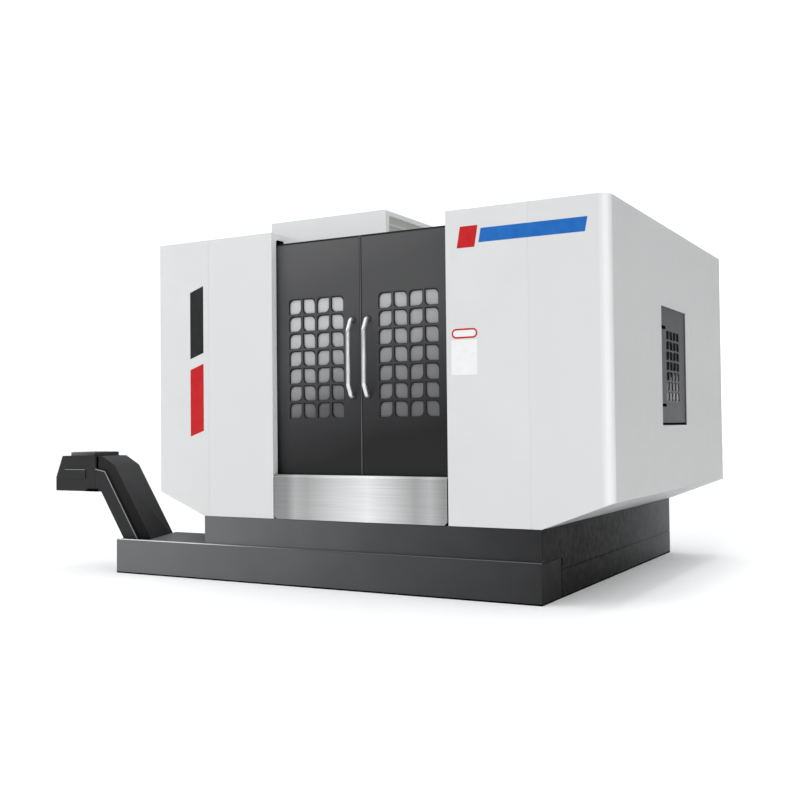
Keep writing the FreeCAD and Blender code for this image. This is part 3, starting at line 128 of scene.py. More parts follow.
def linear(hex_code):
    """An sRGB hex colour as linear numbers."""
    channels = [int(hex_code[i:i + 2], 16) / 255 for i in (1, 3, 5)]
    return (*[c / 12.92 if c <= 0.04045 else ((c + 0.055) / 1.055) ** 2.4 for c in channels], 1)


def ramp(tree, factor, *stops):
    """A colour ramp with (position, hex colour) stops; gives its colour output."""
    made = add(tree, "ValToRGB", {"Fac": factor})
    while len(made.color_ramp.elements) < len(stops):
        made.color_ramp.elements.new(0.5)
    for element, (position, code) in zip(made.color_ramp.elements, stops):
        element.position = position
        element.color = linear(code)
    return made.outputs["Color"]


def between(tree, value, low, high, to_low=0.0, to_high=1.0):
    """Carry a value from one range to another."""
    made = add(tree, "MapRange", {"Value": value, "From Min": low, "From Max": high,
                                  "To Min": to_low, "To Max": to_high})
    return made.outputs["Result"]


def grain(tree, size, stretch=(1, 1, 1), detail=2):
    """Noise whose patches are about size metres across, stretched along the object's axes."""
    place = add(tree, "TexCoord").outputs["Object"]
    laid = add(tree, "Mapping", {"Vector": place, "Scale": [1 / (size * s) for s in stretch]})
    return add(tree, "TexNoise", {"Vector": laid.outputs[0], "Scale": 1, "Detail": detail}).outputs[0]


def place_along(tree, axis):
    """The object's own X, Y or Z; "facing X" tells instead how much the surface faces that way."""
    place = add(tree, "TexCoord").outputs["Normal" if axis.startswith("facing") else "Object"]
    return add(tree, "SeparateXYZ", {"Vector": place}).outputs[axis[-1]]


def start(name, **inputs):
    """A material with only its shader; gives the material, its tree and the shader."""
    made = bpy.data.materials.new(name)
    made.use_nodes = True
    tree = made.node_tree
    tree.nodes.clear()
    shader = add(tree, "BsdfPrincipled")
    for label, value in inputs.items():
        shader.inputs[label.replace("_", " ")].default_value = value
    add(tree, "OutputMaterial", {"Surface": shader.outputs[0]})
    return made, tree, shader


def roughen(tree, shader, height, depth, strength=1.0):
    """Let a height pattern tilt the surface's normal."""
    bump = add(tree, "Bump", {"Height": height, "Distance": depth, "Strength": strength})
    tree.links.new(bump.outputs[0], shader.inputs["Normal"])


print("material helpers ready")

# %% [markdown]
# ## Powder coat
#
# The sheet metal is polyester powder coat: a dry powder is sprayed on, clings by static and is
# baked until it flows. It dries to a satin film with a faint orange peel, in ripples about 2 mm
# across. From this far away those would vanish, so the ripples are drawn at 9 mm. Large slow
# clouds in the colour stand for the way that a sheet is never perfectly flat or evenly sprayed.
# Most coats also carry painted light and shade: they grow lighter or darker along the machine, up a
# face, or with the way a face is turned, standing in for the studio's light and its reflections.

# %% Powder coat


def evenly(tones):
    """Colour ramp stops at even places."""
    return [(i / (len(tones) - 1), tone) for i, tone in enumerate(tones)]


def cloud_and_painted_light(tree, spreads, cloud):
    """Painted light and shade with a little cloud in them; each spread is (axis, from, to, share)."""
    total = between(tree, cloud, 0, 1, -0.02, 0.02)
    for axis, begin, end, share in spreads:
        along = between(tree, place_along(tree, axis), begin, end, 0, share)
        total = add(tree, "Math", {0: along, 1: total}, operation="ADD").outputs[0]
    return total


def powder_coat(name, *tones, gloss=(0.38, 0.44), peel=0.00012, sheen=0.5, spreads=()):
    """Satin powder coat from dark to light, cloudy, with painted light and shade where spreads are given."""
    made, tree, shader = start(name, Specular_IOR_Level=sheen)
    mix = between(tree, grain(tree, 0.55, detail=3), 0.3, 0.7)
    if spreads:
        mix = cloud_and_painted_light(tree, spreads, mix)
    tree.links.new(ramp(tree, mix, *evenly(tones)), shader.inputs["Base Color"])
    rough = between(tree, grain(tree, 0.12), 0.3, 0.7, *gloss)
    tree.links.new(rough, shader.inputs["Roughness"])
    roughen(tree, shader, grain(tree, 0.009), peel)
    return made


tank_low, tank_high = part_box("coolant_tank")
door_low, door_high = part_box("left_door")
# Painted light and shade: the base and the tank lighter towards the conveyor end and darker on faces turned
# to +X, the base lighter towards the rear, the conveyor case darker on its front faces and lower down, the
# lid lighter towards its left end, and the doors lighter high up and to the left.
base_painted_light = (("X", tank_high[0], tank_low[0], 0.75), ("facing X", 0.9, 0.5, 0.25),
                ("Y", front + 1.0, rear, 0.75))
tank_painted_light = (("X", tank_high[0], tank_low[0], 0.5), ("facing X", 0.9, 0.5, 0.167))
case_painted_shade = (("facing Y", -0.95, -0.6, 0.5), ("Z", 0.3, 1.0, 0.5))
lid_painted_light = (("X", *(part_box("conveyor_lid")[end][0] for end in (1, 0)), 1),)
door_painted_light = (("Z", door_low[2], door_high[2], 1.05),
                ("X", door_low[0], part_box("right_door")[1][0], -0.25))
white_coat = powder_coat("white powder coat", "#DADBDB", "#DEDFDF")
# Lit and shaded copies of the white: the hood painted lighter on faces turned to +X, a painted highlight band
# on the rounded corner, painted shade on the right side that is darker lower down, and painted shade on the
# undersides.
hood_white_painted_light = powder_coat("hood powder coat with painted light", "#E6E7E7", "#FCFDFD", spreads=(("facing X", 0.5, 0.9, 1),))
corner_white_painted_highlight = powder_coat("rounded corner powder coat with painted highlight", "#DBDCDC", "#F6F7F7",
                           spreads=(("facing X", 0.1, 0.6, 1), ("facing X", 0.8, 1.0, -0.8)))
side_white_painted_shade = powder_coat("side powder coat with painted shade", "#C0C1C1", "#CFD0D0", spreads=(("Z", 0.75, 1.9, 1),))
underside_painted_shade = powder_coat("underside powder coat with painted shade", "#B5B6B7", "#BBBCBD", sheen=0.3)
# The tank's charcoal is painted lighter towards the conveyor end and darker on faces turned to +X: painted
# light and shade.
tank_coat_painted_light = powder_coat("charcoal powder coat with painted light", "#1F1F20", "#373738", "#4E4F50", "#666768", "#747576",
                            "#868788", "#9A9B9C", sheen=0.04, spreads=tank_painted_light)
# A painted highlight for the tank's edge strip, lightest towards the conveyor end.
edge_highlight_coat = powder_coat("tank edge painted highlight", "#5C5D5E", "#8A8B8C", "#E4E5E6", sheen=0.1,
                        spreads=(("X", 0.2, tank_low[0] + 0.9, 1),))
frame_coat = powder_coat("dark frame powder coat", "#2A2A2B", "#2F2F30", sheen=0.3)
# The doors' coat is painted lighter high up and towards the left: painted light.
door_coat_painted_light = powder_coat("door powder coat with painted light", "#1A1A1B", "#38383A", "#4C4C4D", "#4D4D4E", "#5A5A5B",
                        gloss=(0.3, 0.33), peel=0.00004, sheen=0.28, spreads=door_painted_light)
black_coat = powder_coat("black powder coat", "#2C2C2D", "#313132", sheen=0.12)
# The conveyor case is painted darker on its front faces and lower down: painted shade.
case_coat_painted_shade = powder_coat("conveyor case powder coat with painted shade", "#111112", "#2A2A2B", "#434344", sheen=0.08,
                        spreads=case_painted_shade)
# The conveyor lid is painted lighter towards its left end: painted light.
lid_coat_painted_light = powder_coat("conveyor lid powder coat with painted light", "#434344", "#6C6C6D", sheen=0.12, spreads=lid_painted_light)
# The left front panel's white is painted lighter on faces turned to +X: painted light.
jamb_white_painted_light = powder_coat("powder coat with painted light", "#DCDDDD", "#F8F9F9", spreads=(("facing X", 0.5, 0.9, 1),))
hood_coat = powder_coat("hood panel powder coat", "#CACDC5", "#D0D3CB")
cover_coat = powder_coat("tank cover powder coat", "#5C5C5D", "#6C6C6D", sheen=0.12)
rib_highlight_coat = powder_coat("hood rib painted highlight", "#DADCD8", "#E2E4E0")
hatch_coat = powder_coat("hatch powder coat", "#59595B", "#606062", sheen=0.25)
print("powder coats:", [m.name for m in bpy.data.materials])

# %% [markdown]
# ## Brushed stainless steel
#
# The kick panel is 304 stainless sheet with a long-grain brushed face, rolled and then rubbed with
# an abrasive belt, so the scratches all run the length of the panel. Real scratches are a tenth of
# a millimetre apart; here they are 4 mm, the finest that shows. The soft upright light and dark
# bands along the panel are painted reflections, standing in for the room's light and dark mirrored
# by a long sheet that is never quite flat; they are placed along the sheet's own length. The
# handles are the same steel as tube.

# %% Brushed stainless
kick_low, kick_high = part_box("kick_panel")


def scratched(tree, shader, lines, tone, darkest):
    """Give the surface a tone that is darker along its scratches."""
    marks = ramp(tree, lines, (0, darkest), (1, "#FFFFFF"))
    made = add(tree, "Mix", {0: 0.3, 6: tone, 7: marks}, data_type="RGBA", blend_type="MULTIPLY")
    tree.links.new(made.outputs[2], shader.inputs["Base Color"])


def brushed(name, tone, stretch, size=0.004):
    """Brushed steel; the stretch says which way the scratches run."""
    made, tree, shader = start(name, Metallic=1.0, Anisotropic=0.5)
    lines = between(tree, grain(tree, size, stretch, detail=4), 0.25, 0.75)
    scratched(tree, shader, lines, tone(tree), "#8E8E8E")
    tree.links.new(between(tree, lines, 0, 1, 0.26, 0.4), shader.inputs["Roughness"])
    roughen(tree, shader, lines, 0.0002)
    return made


def painted_reflection_bands(tree):
    """Painted reflections: slow light and dark bands along the kick panel."""
    along = between(tree, place_along(tree, "X"), kick_low[0], kick_high[0])
    return ramp(tree, along, (0.0, "#9A9B9B"), (0.08, "#A2A3A3"), (0.13, "#C6C7C7"), (0.2, "#BCBDBD"),
                (0.38, "#E6E7E7"), (0.56, "#FFFFFF"), (0.68, "#E6E6E6"), (0.83, "#B4B5B5"),
                (0.91, "#C8C9C9"), (0.98, "#A4A5A5"))


def even_steel(tree):
    """One light tone with a faint cloud in it."""
    return ramp(tree, between(tree, grain(tree, 0.3), 0.3, 0.7), (0, "#F0F1F1"), (1, "#FAFBFB"))


# The kick panel's bands are painted reflections.
kick_steel_painted_reflection = brushed("brushed stainless sheet with painted reflection", painted_reflection_bands, (160, 160, 1))
tube_steel = brushed("satin stainless tube", even_steel, (1, 1, 30), size=0.006)
print("kick panel", round(float(kick_high[0] - kick_low[0]), 3), "m long")

# %% [markdown]
# ## Safety windows
#
# The windows are sheets of polycarbonate with a smoke-grey reflective film inside. The film's grey
# is a painted reflection of a grey room: on the doors it is light high up, darker towards the floor
# and a little lighter towards each pane's left end, and the left pane is painted lighter than the
# right; on the hatch the lowest rows are painted light, the rest dark, and the front end a little
# lighter. A hard clear face over it gives the gloss. A little light still passes through.

# %% Window panes


def smoke_film(name, node, *tones):
    """Film-faced polycarbonate with a painted reflection, graded over the pane's height and a little across
    it.
    """
    low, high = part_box(node)
    made, tree, shader = start(name, Roughness=0.16, Coat_Weight=0.5, Coat_Roughness=0.05)
    up_pane = between(tree, place_along(tree, "Z"), low[2], high[2])
    wide = max((0, 1), key=lambda axis: high[axis] - low[axis])
    across = between(tree, place_along(tree, "XY"[wide]), low[wide], high[wide], 0.05, -0.14)
    graded = add(tree, "Math", {0: up_pane, 1: across}, operation="ADD").outputs[0]
    ripple = between(tree, grain(tree, 0.2), 0.3, 0.7, -0.03, 0.03)
    rippled = add(tree, "Math", {0: graded, 1: ripple}, operation="ADD").outputs[0]
    tree.links.new(ramp(tree, rippled, *tones), shader.inputs["Base Color"])
    clear = add(tree, "BsdfTransparent")
    mixed = add(tree, "MixShader", {0: 0.12, 1: shader.outputs[0], 2: clear.outputs[0]})
    tree.links.new(mixed.outputs[0], tree.nodes["Material Output"].inputs["Surface"])
    return made


# Painted reflections: the left pane lighter than the right, and the hatch light in its lowest rows.
right_painted_reflection = ((0.0, "#6A6A6C"), (0.35, "#8A8A8B"), (0.7, "#B0B0B1"), (1.0, "#C6C6C7"))
left_painted_reflection = ((0.0, "#5E5E60"), (0.35, "#ACACAD"), (0.7, "#D0D0D1"), (1.0, "#DADADB"))
hatch_painted_reflection = ((0.0, "#CCCCCE"), (0.27, "#9C9C9E"), (0.34, "#161617"), (1.0, "#0C0C0D"))
left_film = smoke_film("left smoke film with painted reflection", "left_door_glass", *left_painted_reflection)
right_film = smoke_film("right smoke film with painted reflection", "right_door_glass", *right_painted_reflection)
hatch_film = smoke_film("hatch smoke film with painted reflection", "side_door_glass", *hatch_painted_reflection)
print("three kinds of pane")

# %% [markdown]
# ## Castings, ground steel, enamel and rubber
#
# The bed, column and headstock are grey iron, filled, sanded and painted with two-part enamel over
# a sand-cast skin, which leaves a soft pitted texture about 6 mm across; the base's enamel also
# carries painted light and shade. Rails, screws and the pallet are ground bright: the grinding wheel
# leaves fine lines. The conveyor's thin light lines are painted highlights, made like paint. The
# motors are dipped in smooth black enamel. Door seals are extruded rubber, dull and nearly black.
# Some black rubber pieces are painted shade, in gaps, under the machine and round the handles' feet.

# %% Workshop finishes


def cast_enamel(name, *tones, pits=0.0006, sheen=0.4, spreads=()):
    """Enamel over sand-cast iron, with painted light and shade where spreads are given."""
    made, tree, shader = start(name, Specular_IOR_Level=sheen)
    cloud = between(tree, grain(tree, 0.3, detail=3), 0.3, 0.7)
    mix = cloud_and_painted_light(tree, spreads, cloud) if spreads else cloud
    tree.links.new(ramp(tree, mix, *evenly(tones)), shader.inputs["Base Color"])
    tree.links.new(between(tree, grain(tree, 0.05), 0.3, 0.7, 0.42, 0.56), shader.inputs["Roughness"])
    roughen(tree, shader, grain(tree, 0.014, detail=5), pits)
    return made


def ground_steel(name, dark, light, stretch=(1, 1, 12)):
    """Bright ground steel with a film of oil."""
    made, tree, shader = start(name, Metallic=1.0)
    lines = between(tree, grain(tree, 0.005, stretch, detail=3), 0.25, 0.75)
    cloud = between(tree, grain(tree, 0.15), 0.3, 0.7)
    scratched(tree, shader, lines, ramp(tree, cloud, (0, dark), (1, light)), "#9A9A9A")
    tree.links.new(between(tree, cloud, 0, 1, 0.2, 0.36), shader.inputs["Roughness"])
    roughen(tree, shader, lines, 0.00015)
    return made


def moulded(name, dark, light, rough=(0.55, 0.75), texture=0.0001, sheen=0.35):
    """Rubber or plastic with a matt moulded skin."""
    made, tree, shader = start(name, Specular_IOR_Level=sheen)
    cloud = between(tree, grain(tree, 0.06, detail=3), 0.3, 0.7)
    tree.links.new(ramp(tree, cloud, (0, dark), (1, light)), shader.inputs["Base Color"])
    tree.links.new(between(tree, cloud, 0, 1, *rough), shader.inputs["Roughness"])
    roughen(tree, shader, grain(tree, 0.003), texture)
    return made


# The base's enamel is painted lighter towards the conveyor end and the rear, and darker on faces turned to
# +X: painted light and shade.
base_enamel_painted_light = cast_enamel("charcoal casting enamel with painted light", "#1C1C1D", "#303031", "#4E4F50", "#6C6D6E", "#7C7D7E",
                        pits=0.00002, sheen=0.04, spreads=base_painted_light)
grey_casting = cast_enamel("light casting enamel", "#8C9193", "#989D9F")
rail_steel = ground_steel("ground rail steel", "#A8A9AA", "#C3C4C5")
# A painted highlight, for the thin light lines on the conveyor.
highlight_line_paint = powder_coat("painted highlight line", "#8A8B8C", "#9A9B9C", sheen=0.3)
screw_steel = ground_steel("rolled screw steel", "#8F9092", "#B4B5B7", (1, 1, 1))
fastener_zinc = ground_steel("zinc plated fastener", "#A9AAAD", "#C9CACD", (1, 1, 1))
motor_enamel = moulded("black motor enamel", "#121213", "#19191B", (0.22, 0.34), 0.00003)
# Real seal rubber that also serves as painted shade: the handles' foot rings, the wide gasket lips and the
# doors' top strips.
seal_rubber_and_painted_shade = moulded("seal rubber and painted shade", "#0F0F10", "#161617")
# Pure black rubber: painted shade in gaps and under the machine, and the real black of the hatch's hinges.
black_rubber_and_painted_shade = moulded("black rubber and painted shade", "#020202", "#050505", (0.8, 0.95), sheen=0.02)
duct_plastic = moulded("grey duct plastic", "#8E9294", "#989C9E", (0.45, 0.6))
device_plastic = moulded("device plastic", "#B9BCBA", "#C4C7C5", (0.4, 0.5))
dark_vinyl = moulded("black vinyl film", "#151516", "#1B1B1D", (0.3, 0.4), 0.00002)
red_vinyl = moulded("red vinyl film", "#BE0A12", "#C8121A", (0.3, 0.4), 0.00002)
blue_vinyl = moulded("blue vinyl film", "#0C62B4", "#146CBE", (0.3, 0.4), 0.00002)
pale_vinyl = moulded("pale vinyl film", "#ECECEC", "#F4F4F4", (0.35, 0.45), 0.00002)
print(len(bpy.data.materials), "materials so far")

# %% [markdown]
# ## Shop helpers
#
# Pieces are made as meshes in the machine's own frame, so nothing has to be placed afterwards. One
# function turns a mesh under construction into a piece: it gives it a finish, lets it ride on the
# body that carries it, and can round its edges. Edges under about 30 degrees count as curved.

# %% Turn a mesh into a piece


def piece(name, mesh, finish, edge=0.0, steps=2, body="machine_frame"):
    """A finished piece; edge rounds its sharp edges by that many metres."""
    data = bpy.data.meshes.new(name)
    bmesh.ops.recalc_face_normals(mesh, faces=mesh.faces)
    mesh.to_mesh(data)
    mesh.free()
    data.materials.append(finish)
    data.shade_smooth()
    data.set_sharp_from_angle(angle=math.radians(30))
    made = bpy.data.objects.new(name, data)
    scene.collection.objects.link(made)
    if edge:
        rounded = made.modifiers.new("edges", "BEVEL")
        rounded.width = edge
        rounded.segments = steps
        rounded.limit_method = "ANGLE"
        rounded.angle_limit = math.radians(30)
        rounded.harden_normals = True
    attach(made, body)
    return made


def soften(node, edge, finish):
    """A copy of a node with its edges rounded, which stands for it."""
    mesh = bmesh.new()
    mesh.from_mesh(frame["nodes"][node].data)
    bmesh.ops.remove_doubles(mesh, verts=mesh.verts, dist=0.01 * MM)
    bmesh.ops.dissolve_limit(mesh, angle_limit=math.radians(1), verts=mesh.verts, edges=mesh.edges)
    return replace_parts(piece(node + "_softened", mesh, finish, edge, body=rides_on[node]), node)


def block(mesh, low, high):
    """Add a rectangular block to a mesh."""
    for vert in bmesh.ops.create_cube(mesh, size=1)["verts"]:
        vert.co = [a + (c + 0.5) * (b - a) for a, b, c in zip(low, high, vert.co)]


def in_metres(profile):
    """A profile drawn in millimetres, in metres."""
    return [(reach * MM, radius * MM) for reach, radius in profile]


def blocks(*boxes):
    """A mesh of blocks, each given by its lowest and highest corners."""
    mesh = bmesh.new()
    for low, high in boxes:
        block(mesh, low, high)
    return mesh


def skin(mesh, rings, closed=False):
    """Join rings of points with faces; closed joins the last to the first, else both are capped."""
    ends = rings[1:] + rings[:1] if closed else rings[1:]
    for near, far in zip(rings, ends):
        for i, vert in enumerate(near):
            j = (i + 1) % len(near)
            mesh.faces.new((vert, near[j], far[j], far[i]))
    if not closed:
        mesh.faces.new(rings[0][::-1])
        mesh.faces.new(rings[-1])


def lathe(mesh, profile, at, axis, sides, ring=False):
    """Turn a profile of (distance along, radius) points round an axis; a ring is left hollow."""
    along = Vector(axis).normalized()
    across = along.orthogonal().normalized()
    other = along.cross(across)
    turns = [2 * math.pi * i / sides for i in range(sides)]
    rings = [[mesh.verts.new(Vector(at) + along * reach
                             + (across * math.cos(t) + other * math.sin(t)) * radius)
              for t in turns] for reach, radius in profile]
    skin(mesh, rings, ring)


def plate(mesh, outline, place, face, back):
    """A flat plate with the given outline, from its face to its back."""
    tops = [mesh.verts.new(place(u, v, face)) for u, v in outline]
    feet = [mesh.verts.new(place(u, v, back)) for u, v in outline]
    mesh.faces.new(tops)
    mesh.faces.new(feet[::-1])
    for i, vert in enumerate(tops):
        j = (i + 1) % len(tops)
        mesh.faces.new((vert, feet[i], feet[j], tops[j]))


def upright(u, v, depth):
    """A point of a front-facing sheet: u runs along X, v up, and depth along Y."""
    return u, depth, v


def sideways(u, v, depth):
    """A point of a side-facing sheet: u runs along Y, v up, and depth along X."""
    return depth, u, v


print("shop helpers ready")

# %% [markdown]
# ## Finish every piece of the model
#
# Half of the pieces keep the model's own shape and only get a finish. A dictionary holds them, so
# that this paint list can be read in one place.

# %% The paint list
paint_list = {
    side_white_painted_shade: ("right_side_cover",),
    white_coat: ("left_side_cover", "roof_front", "roof_left", "roof_right",
                 "rear_cover", "electrical_cabinet"),
    underside_painted_shade: ("left_underside_cover", "right_underside_cover"),
    frame_coat: ("door_wall",),
    hatch_coat: ("side_door_frame",),
    seal_rubber_and_painted_shade: ("levelling_feet",),
    left_film: ("left_door_glass",),
    right_film: ("right_door_glass",),
    hatch_film: ("side_door_glass",),
    tube_steel: ("left_door_handle", "right_door_handle"),
    rail_steel: ("door_rails", "guide_rails", "vertical_rails", "spindle", "tool_magazine"),
    screw_steel: ("column_carriages", "headstock_carriages", "table_carriages", "screw_bearings",
                  "conveyor_belt", "conveyor_drum"),
    grey_casting: ("magazine_stand",),
}
for finish, names in paint_list.items():
    for name in names:
        frame["nodes"][name].data.materials.clear()
        frame["nodes"][name].data.materials.append(finish)
print("painted", sum(map(len, paint_list.values())), "pieces")

# %% [markdown]
# ## Rounded edges
#
# Folded sheet, welded plate and castings have no razor edges. The brake leaves 1.5 to 3 mm round a
# fold, a fettled casting has 5 to 12 mm, and each rounding draws a thin line of light. Those pieces
# are replaced by copies of themselves with their edges rounded, by the millimetres listed here.

# %% Round the edges
soft_list = (
    ("left_front_panel", 1.5, jamb_white_painted_light, "white_paint"),
    ("right_front_panel", 1.5, white_coat, "white_paint"),
    ("left_corner_cover", 1.5, white_coat, "white_paint"),
    ("right_corner_cover", 1.5, corner_white_painted_highlight, "white_paint"),
    ("hood", 3, hood_white_painted_light, "white_paint"), ("hood_side_panel", 1.5, hood_coat, "hood_panel_paint"),
    ("cabinet_door", 3, white_coat, "white_paint"),
    ("bed", 6, base_enamel_painted_light, "charcoal_paint"), ("base_frame", 5, base_enamel_painted_light, "charcoal_paint"),
    ("coolant_tank", 2, tank_coat_painted_light, "charcoal_paint"),
    ("left_door", 2.5, door_coat_painted_light, "charcoal_paint"), ("right_door", 2.5, door_coat_painted_light, "charcoal_paint"),
    ("side_door", 2, hatch_coat, "charcoal_paint"), ("side_door_hinges", 2, black_rubber_and_painted_shade, "black_paint"),
    ("kick_panel", 1.5, kick_steel_painted_reflection, "stainless"),
    ("conveyor_case", 2, case_coat_painted_shade, "black_paint"), ("conveyor_side_plates", 3, black_coat, "black_paint"),
    ("conveyor_head", 4, black_coat, "black_paint"), ("conveyor_lid", 5, lid_coat_painted_light, "black_paint"),
    ("column", 12, grey_casting, "cast_iron"), ("headstock", 10, grey_casting, "cast_iron"),
    ("table_saddle", 8, grey_casting, "cast_iron"), ("rotary_table", 5, grey_casting, "cast_iron"),
    ("pallet", 2, rail_steel, "cast_iron"), ("tool_change_arm", 4, rail_steel, "steel"),
)
for node, edge, finish, slot in soft_list:
    soften(node, edge * MM, finish)
print("rounded", len(soft_list), "pieces")

# %% [markdown]
# ## Window gaskets
#
# Each window cell is lined with an extruded rubber channel, which holds the pane and hides the cut
# edge of the sheet. It could be a curve with a profile, but a ring of quads between two outlines is
# lighter. The cells are leaf shaped: two opposite corners are rounded, and they change sides from
# column to column. The channel's lip is widest at the head and wide on the left; that extra black
# is painted shade, the shadow in each cell's reveal.

# %% Line the window cells
GLASS_LAP = 12 * MM
# The wide head and left lips are painted shade.
LIP = {"left": 6 * MM, "right": 1.5 * MM, "foot": 1.5 * MM, "head": 10 * MM}
BEND = 8 * MM
COLUMNS, ROWS = 4, 7
CORNER_STEPS = 5


def leaf_outline(low, high, radius, rounded):
    """A cell's outline; rounded is 1 for bottom right and top left, 0 for the other two corners."""
    points = []
    for number, (u, v) in enumerate((low, (high[0], low[1]), high, (low[0], high[1]))):
        if number % 2 != rounded:
            points.append((u, v))
            continue
        centre = u + math.copysign(radius, low[0] + high[0] - 2 * u), v + math.copysign(
            radius, low[1] + high[1] - 2 * v)
        for step in range(CORNER_STEPS + 1):
            turned = math.radians(180 + 90 * (number + step / CORNER_STEPS))
            points.append((centre[0] + radius * math.cos(turned), centre[1] + radius * math.sin(turned)))
    return points


def line_cells(pane, across, place, face, back, cell, bar, radius, share=1.0):
    """One gasket for a pane, from each cell's size, the bars between them and its corner radius."""
    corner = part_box(pane)[0]
    mesh = bmesh.new()
    for column in range(COLUMNS):
        for row in range(ROWS):
            low = (corner[across] + GLASS_LAP + column * (cell[0] + bar[0]),
                   corner[2] + GLASS_LAP + row * (cell[1] + bar[1]))
            high = low[0] + cell[0], low[1] + cell[1]
            outer = leaf_outline(low, high, radius, 1 - column % 2)
            inner = leaf_outline((low[0] + LIP["left"] * share, low[1] + LIP["foot"] * share),
                                 (high[0] - LIP["right"] * share, high[1] - LIP["head"] * share),
                                 radius + BEND * share, 1 - column % 2)
            loops = [[mesh.verts.new(place(u, v, depth)) for u, v in line]
                     for line, depth in ((outer, back), (outer, face), (inner, face), (inner, back))]
            skin(mesh, loops, closed=True)
    piece(pane + "_gasket", mesh, seal_rubber_and_painted_shade, body=rides_on[pane])


hatch_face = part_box("side_door")[1][0]
for pane in ("left_door_glass", "right_door_glass"):
    line_cells(pane, 0, upright, door_front - 1 * MM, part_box(pane)[0][1] - 0.2 * MM,
               (120 * MM, 127 * MM), (17 * MM, 15.5 * MM), 33 * MM)
line_cells("side_door_glass", 1, sideways, hatch_face - 3 * MM,
           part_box("side_door_glass")[1][0] + 0.2 * MM, (92 * MM, 72 * MM), (13 * MM, 12 * MM), 22 * MM, 0.3)
print("lined", 3 * COLUMNS * ROWS, "cells")

# %% [markdown]
# ## Door seals and meeting strips
#
# Where two sliding doors meet, one carries a painted alloy strip that fills the gap, and both have
# a rubber lip. Rubber runs along the doors' top edges too, and its black is partly painted shade,
# standing in for the shadow in the gap above the doors. A pure black strip along the hatch's foot
# is painted shade, standing in for the shadow gap there. Each strip rides on its own door, so that
# it leaves with it. Black rubber rings round the handles' feet are painted shade, standing in for the
# small shadows where the feet meet the doors, and a filler plate closes the frame behind the hatch.

# %% Seal the doors
SEAL = 1.2 * MM
TUBE_RADIUS = 19 * MM
SHADE_RING = ((0, 19.2), (0, 25), (2, 25), (3, 24), (3, 19.2))
for side in ("left", "right"):
    low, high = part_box(side + "_door")
    inner_x = high[0] if side == "left" else low[0]
    toward = 1 if side == "left" else -1
    edge_x = sorted((inner_x, inner_x - toward * 5 * MM))
    # The top strip is partly painted shade: its black stands in for the shadow above the doors.
    seal_z = high[2] - 15 * MM
    seals = blocks(((low[0], door_front - SEAL, seal_z), (high[0], door_front, high[2])),
                   ((edge_x[0], door_front - SEAL, low[2]), (edge_x[1], door_front, seal_z)))
    piece(side + "_door_seal", seals, seal_rubber_and_painted_shade, 0.4 * MM, 1, side + "_door")
    foot_low, foot_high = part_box(side + "_door_handle")
    handle_x = (foot_low[0] + foot_high[0]) / 2
    # The black rings round the handles' feet are painted shade.
    shade_rings = bmesh.new()
    for foot_z in (foot_low[2] + TUBE_RADIUS, foot_high[2] - TUBE_RADIUS):
        lathe(shade_rings, in_metres(SHADE_RING), (handle_x, door_front, foot_z), (0, -1, 0), 32, ring=True)
    piece(side + "_handle_shade_rings", shade_rings, seal_rubber_and_painted_shade, body=side + "_door")
meeting = blocks(((door_high[0], door_front - SEAL, door_low[2]),
                  (door_high[0] + 9 * MM, door_front + 30 * MM, door_high[2])))
piece("left_meeting_strip", meeting, hatch_coat, 1 * MM, body="left_door")
hatch_low, hatch_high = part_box("side_door")
hatch_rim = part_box("side_door_frame")[1]
filler = blocks(((hatch_face - 9 * MM, hatch_high[1] + 2 * MM, hatch_low[2] - 20 * MM),
                 (hatch_face - 1 * MM, hatch_rim[1] - 2 * MM, hatch_high[2] + 20 * MM)))
piece("hatch_frame_filler", filler, hatch_coat)
# The black strip along the hatch's foot is painted shade.
foot_shade = blocks(((hatch_face - 0.5 * MM, hatch_low[1] + 1 * MM, hatch_low[2] + 0.5 * MM),
               (hatch_face + 3 * MM, hatch_high[1] - 1 * MM, hatch_low[2] + 17 * MM)))
piece("hatch_foot_shade_strip", foot_shade, black_rubber_and_painted_shade, 1 * MM, body="side_hatch")
print("doors sealed")

# %% [markdown]
# ## Seams between the sheets
#
# The front sheets stop 3 mm short of each other, so that they can grow with heat. A folded strip
# behind each seam keeps coolant in, so the seam reads as a fine grey line and not as a dark slot.

# %% Back the seams
STRIP_LAP = 14 * MM
strip_low, strip_top = bed_top + 6 * MM, cabinet_top - 5 * MM
seam_pairs = (("left_corner_cover", "left_front_panel"), ("right_front_panel", "right_corner_cover"))
seams = bmesh.new()
for sheet, neighbour in seam_pairs:
    left_of, right_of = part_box(sheet)[1][0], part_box(neighbour)[0][0]
    block(seams, (left_of - STRIP_LAP, front + 4 * MM, strip_low),
          (right_of + STRIP_LAP, front + 7 * MM, strip_top))
    block(seams, (left_of, front + 1.6 * MM, strip_low), (right_of, front + 4 * MM, strip_top))
piece("seam_backings", seams, white_coat)
print("backed", len(seam_pairs), "seams")

# %% [markdown]
# ## The hood's rib and the tank's joint
#
# The hood's side panel is stiffened by one pressed rib; a thin strip on its flat crest is painted
# lighter than the panel, a painted highlight where the crest catches the sky. Where the back of the
# tank meets the lower frame, a black rubber block fills the gap and draws a line down it: painted
# shade, standing in for the shadow in that gap.

# %% Rib and joint
panel_low, panel_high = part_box("hood_side_panel")
RIB_FROM, RIB_TO = 96 * MM, 114 * MM
# The crest strip is painted lighter than the panel: a painted highlight.
crest = blocks(((panel_high[0] - 0.5 * MM, panel_low[1] + 6 * MM, panel_low[2] + RIB_FROM),
                (panel_high[0] + 1 * MM, panel_high[1] - 6 * MM, panel_low[2] + RIB_TO)))
piece("hood_rib_highlight", crest, rib_highlight_coat, 0.5 * MM, 1)
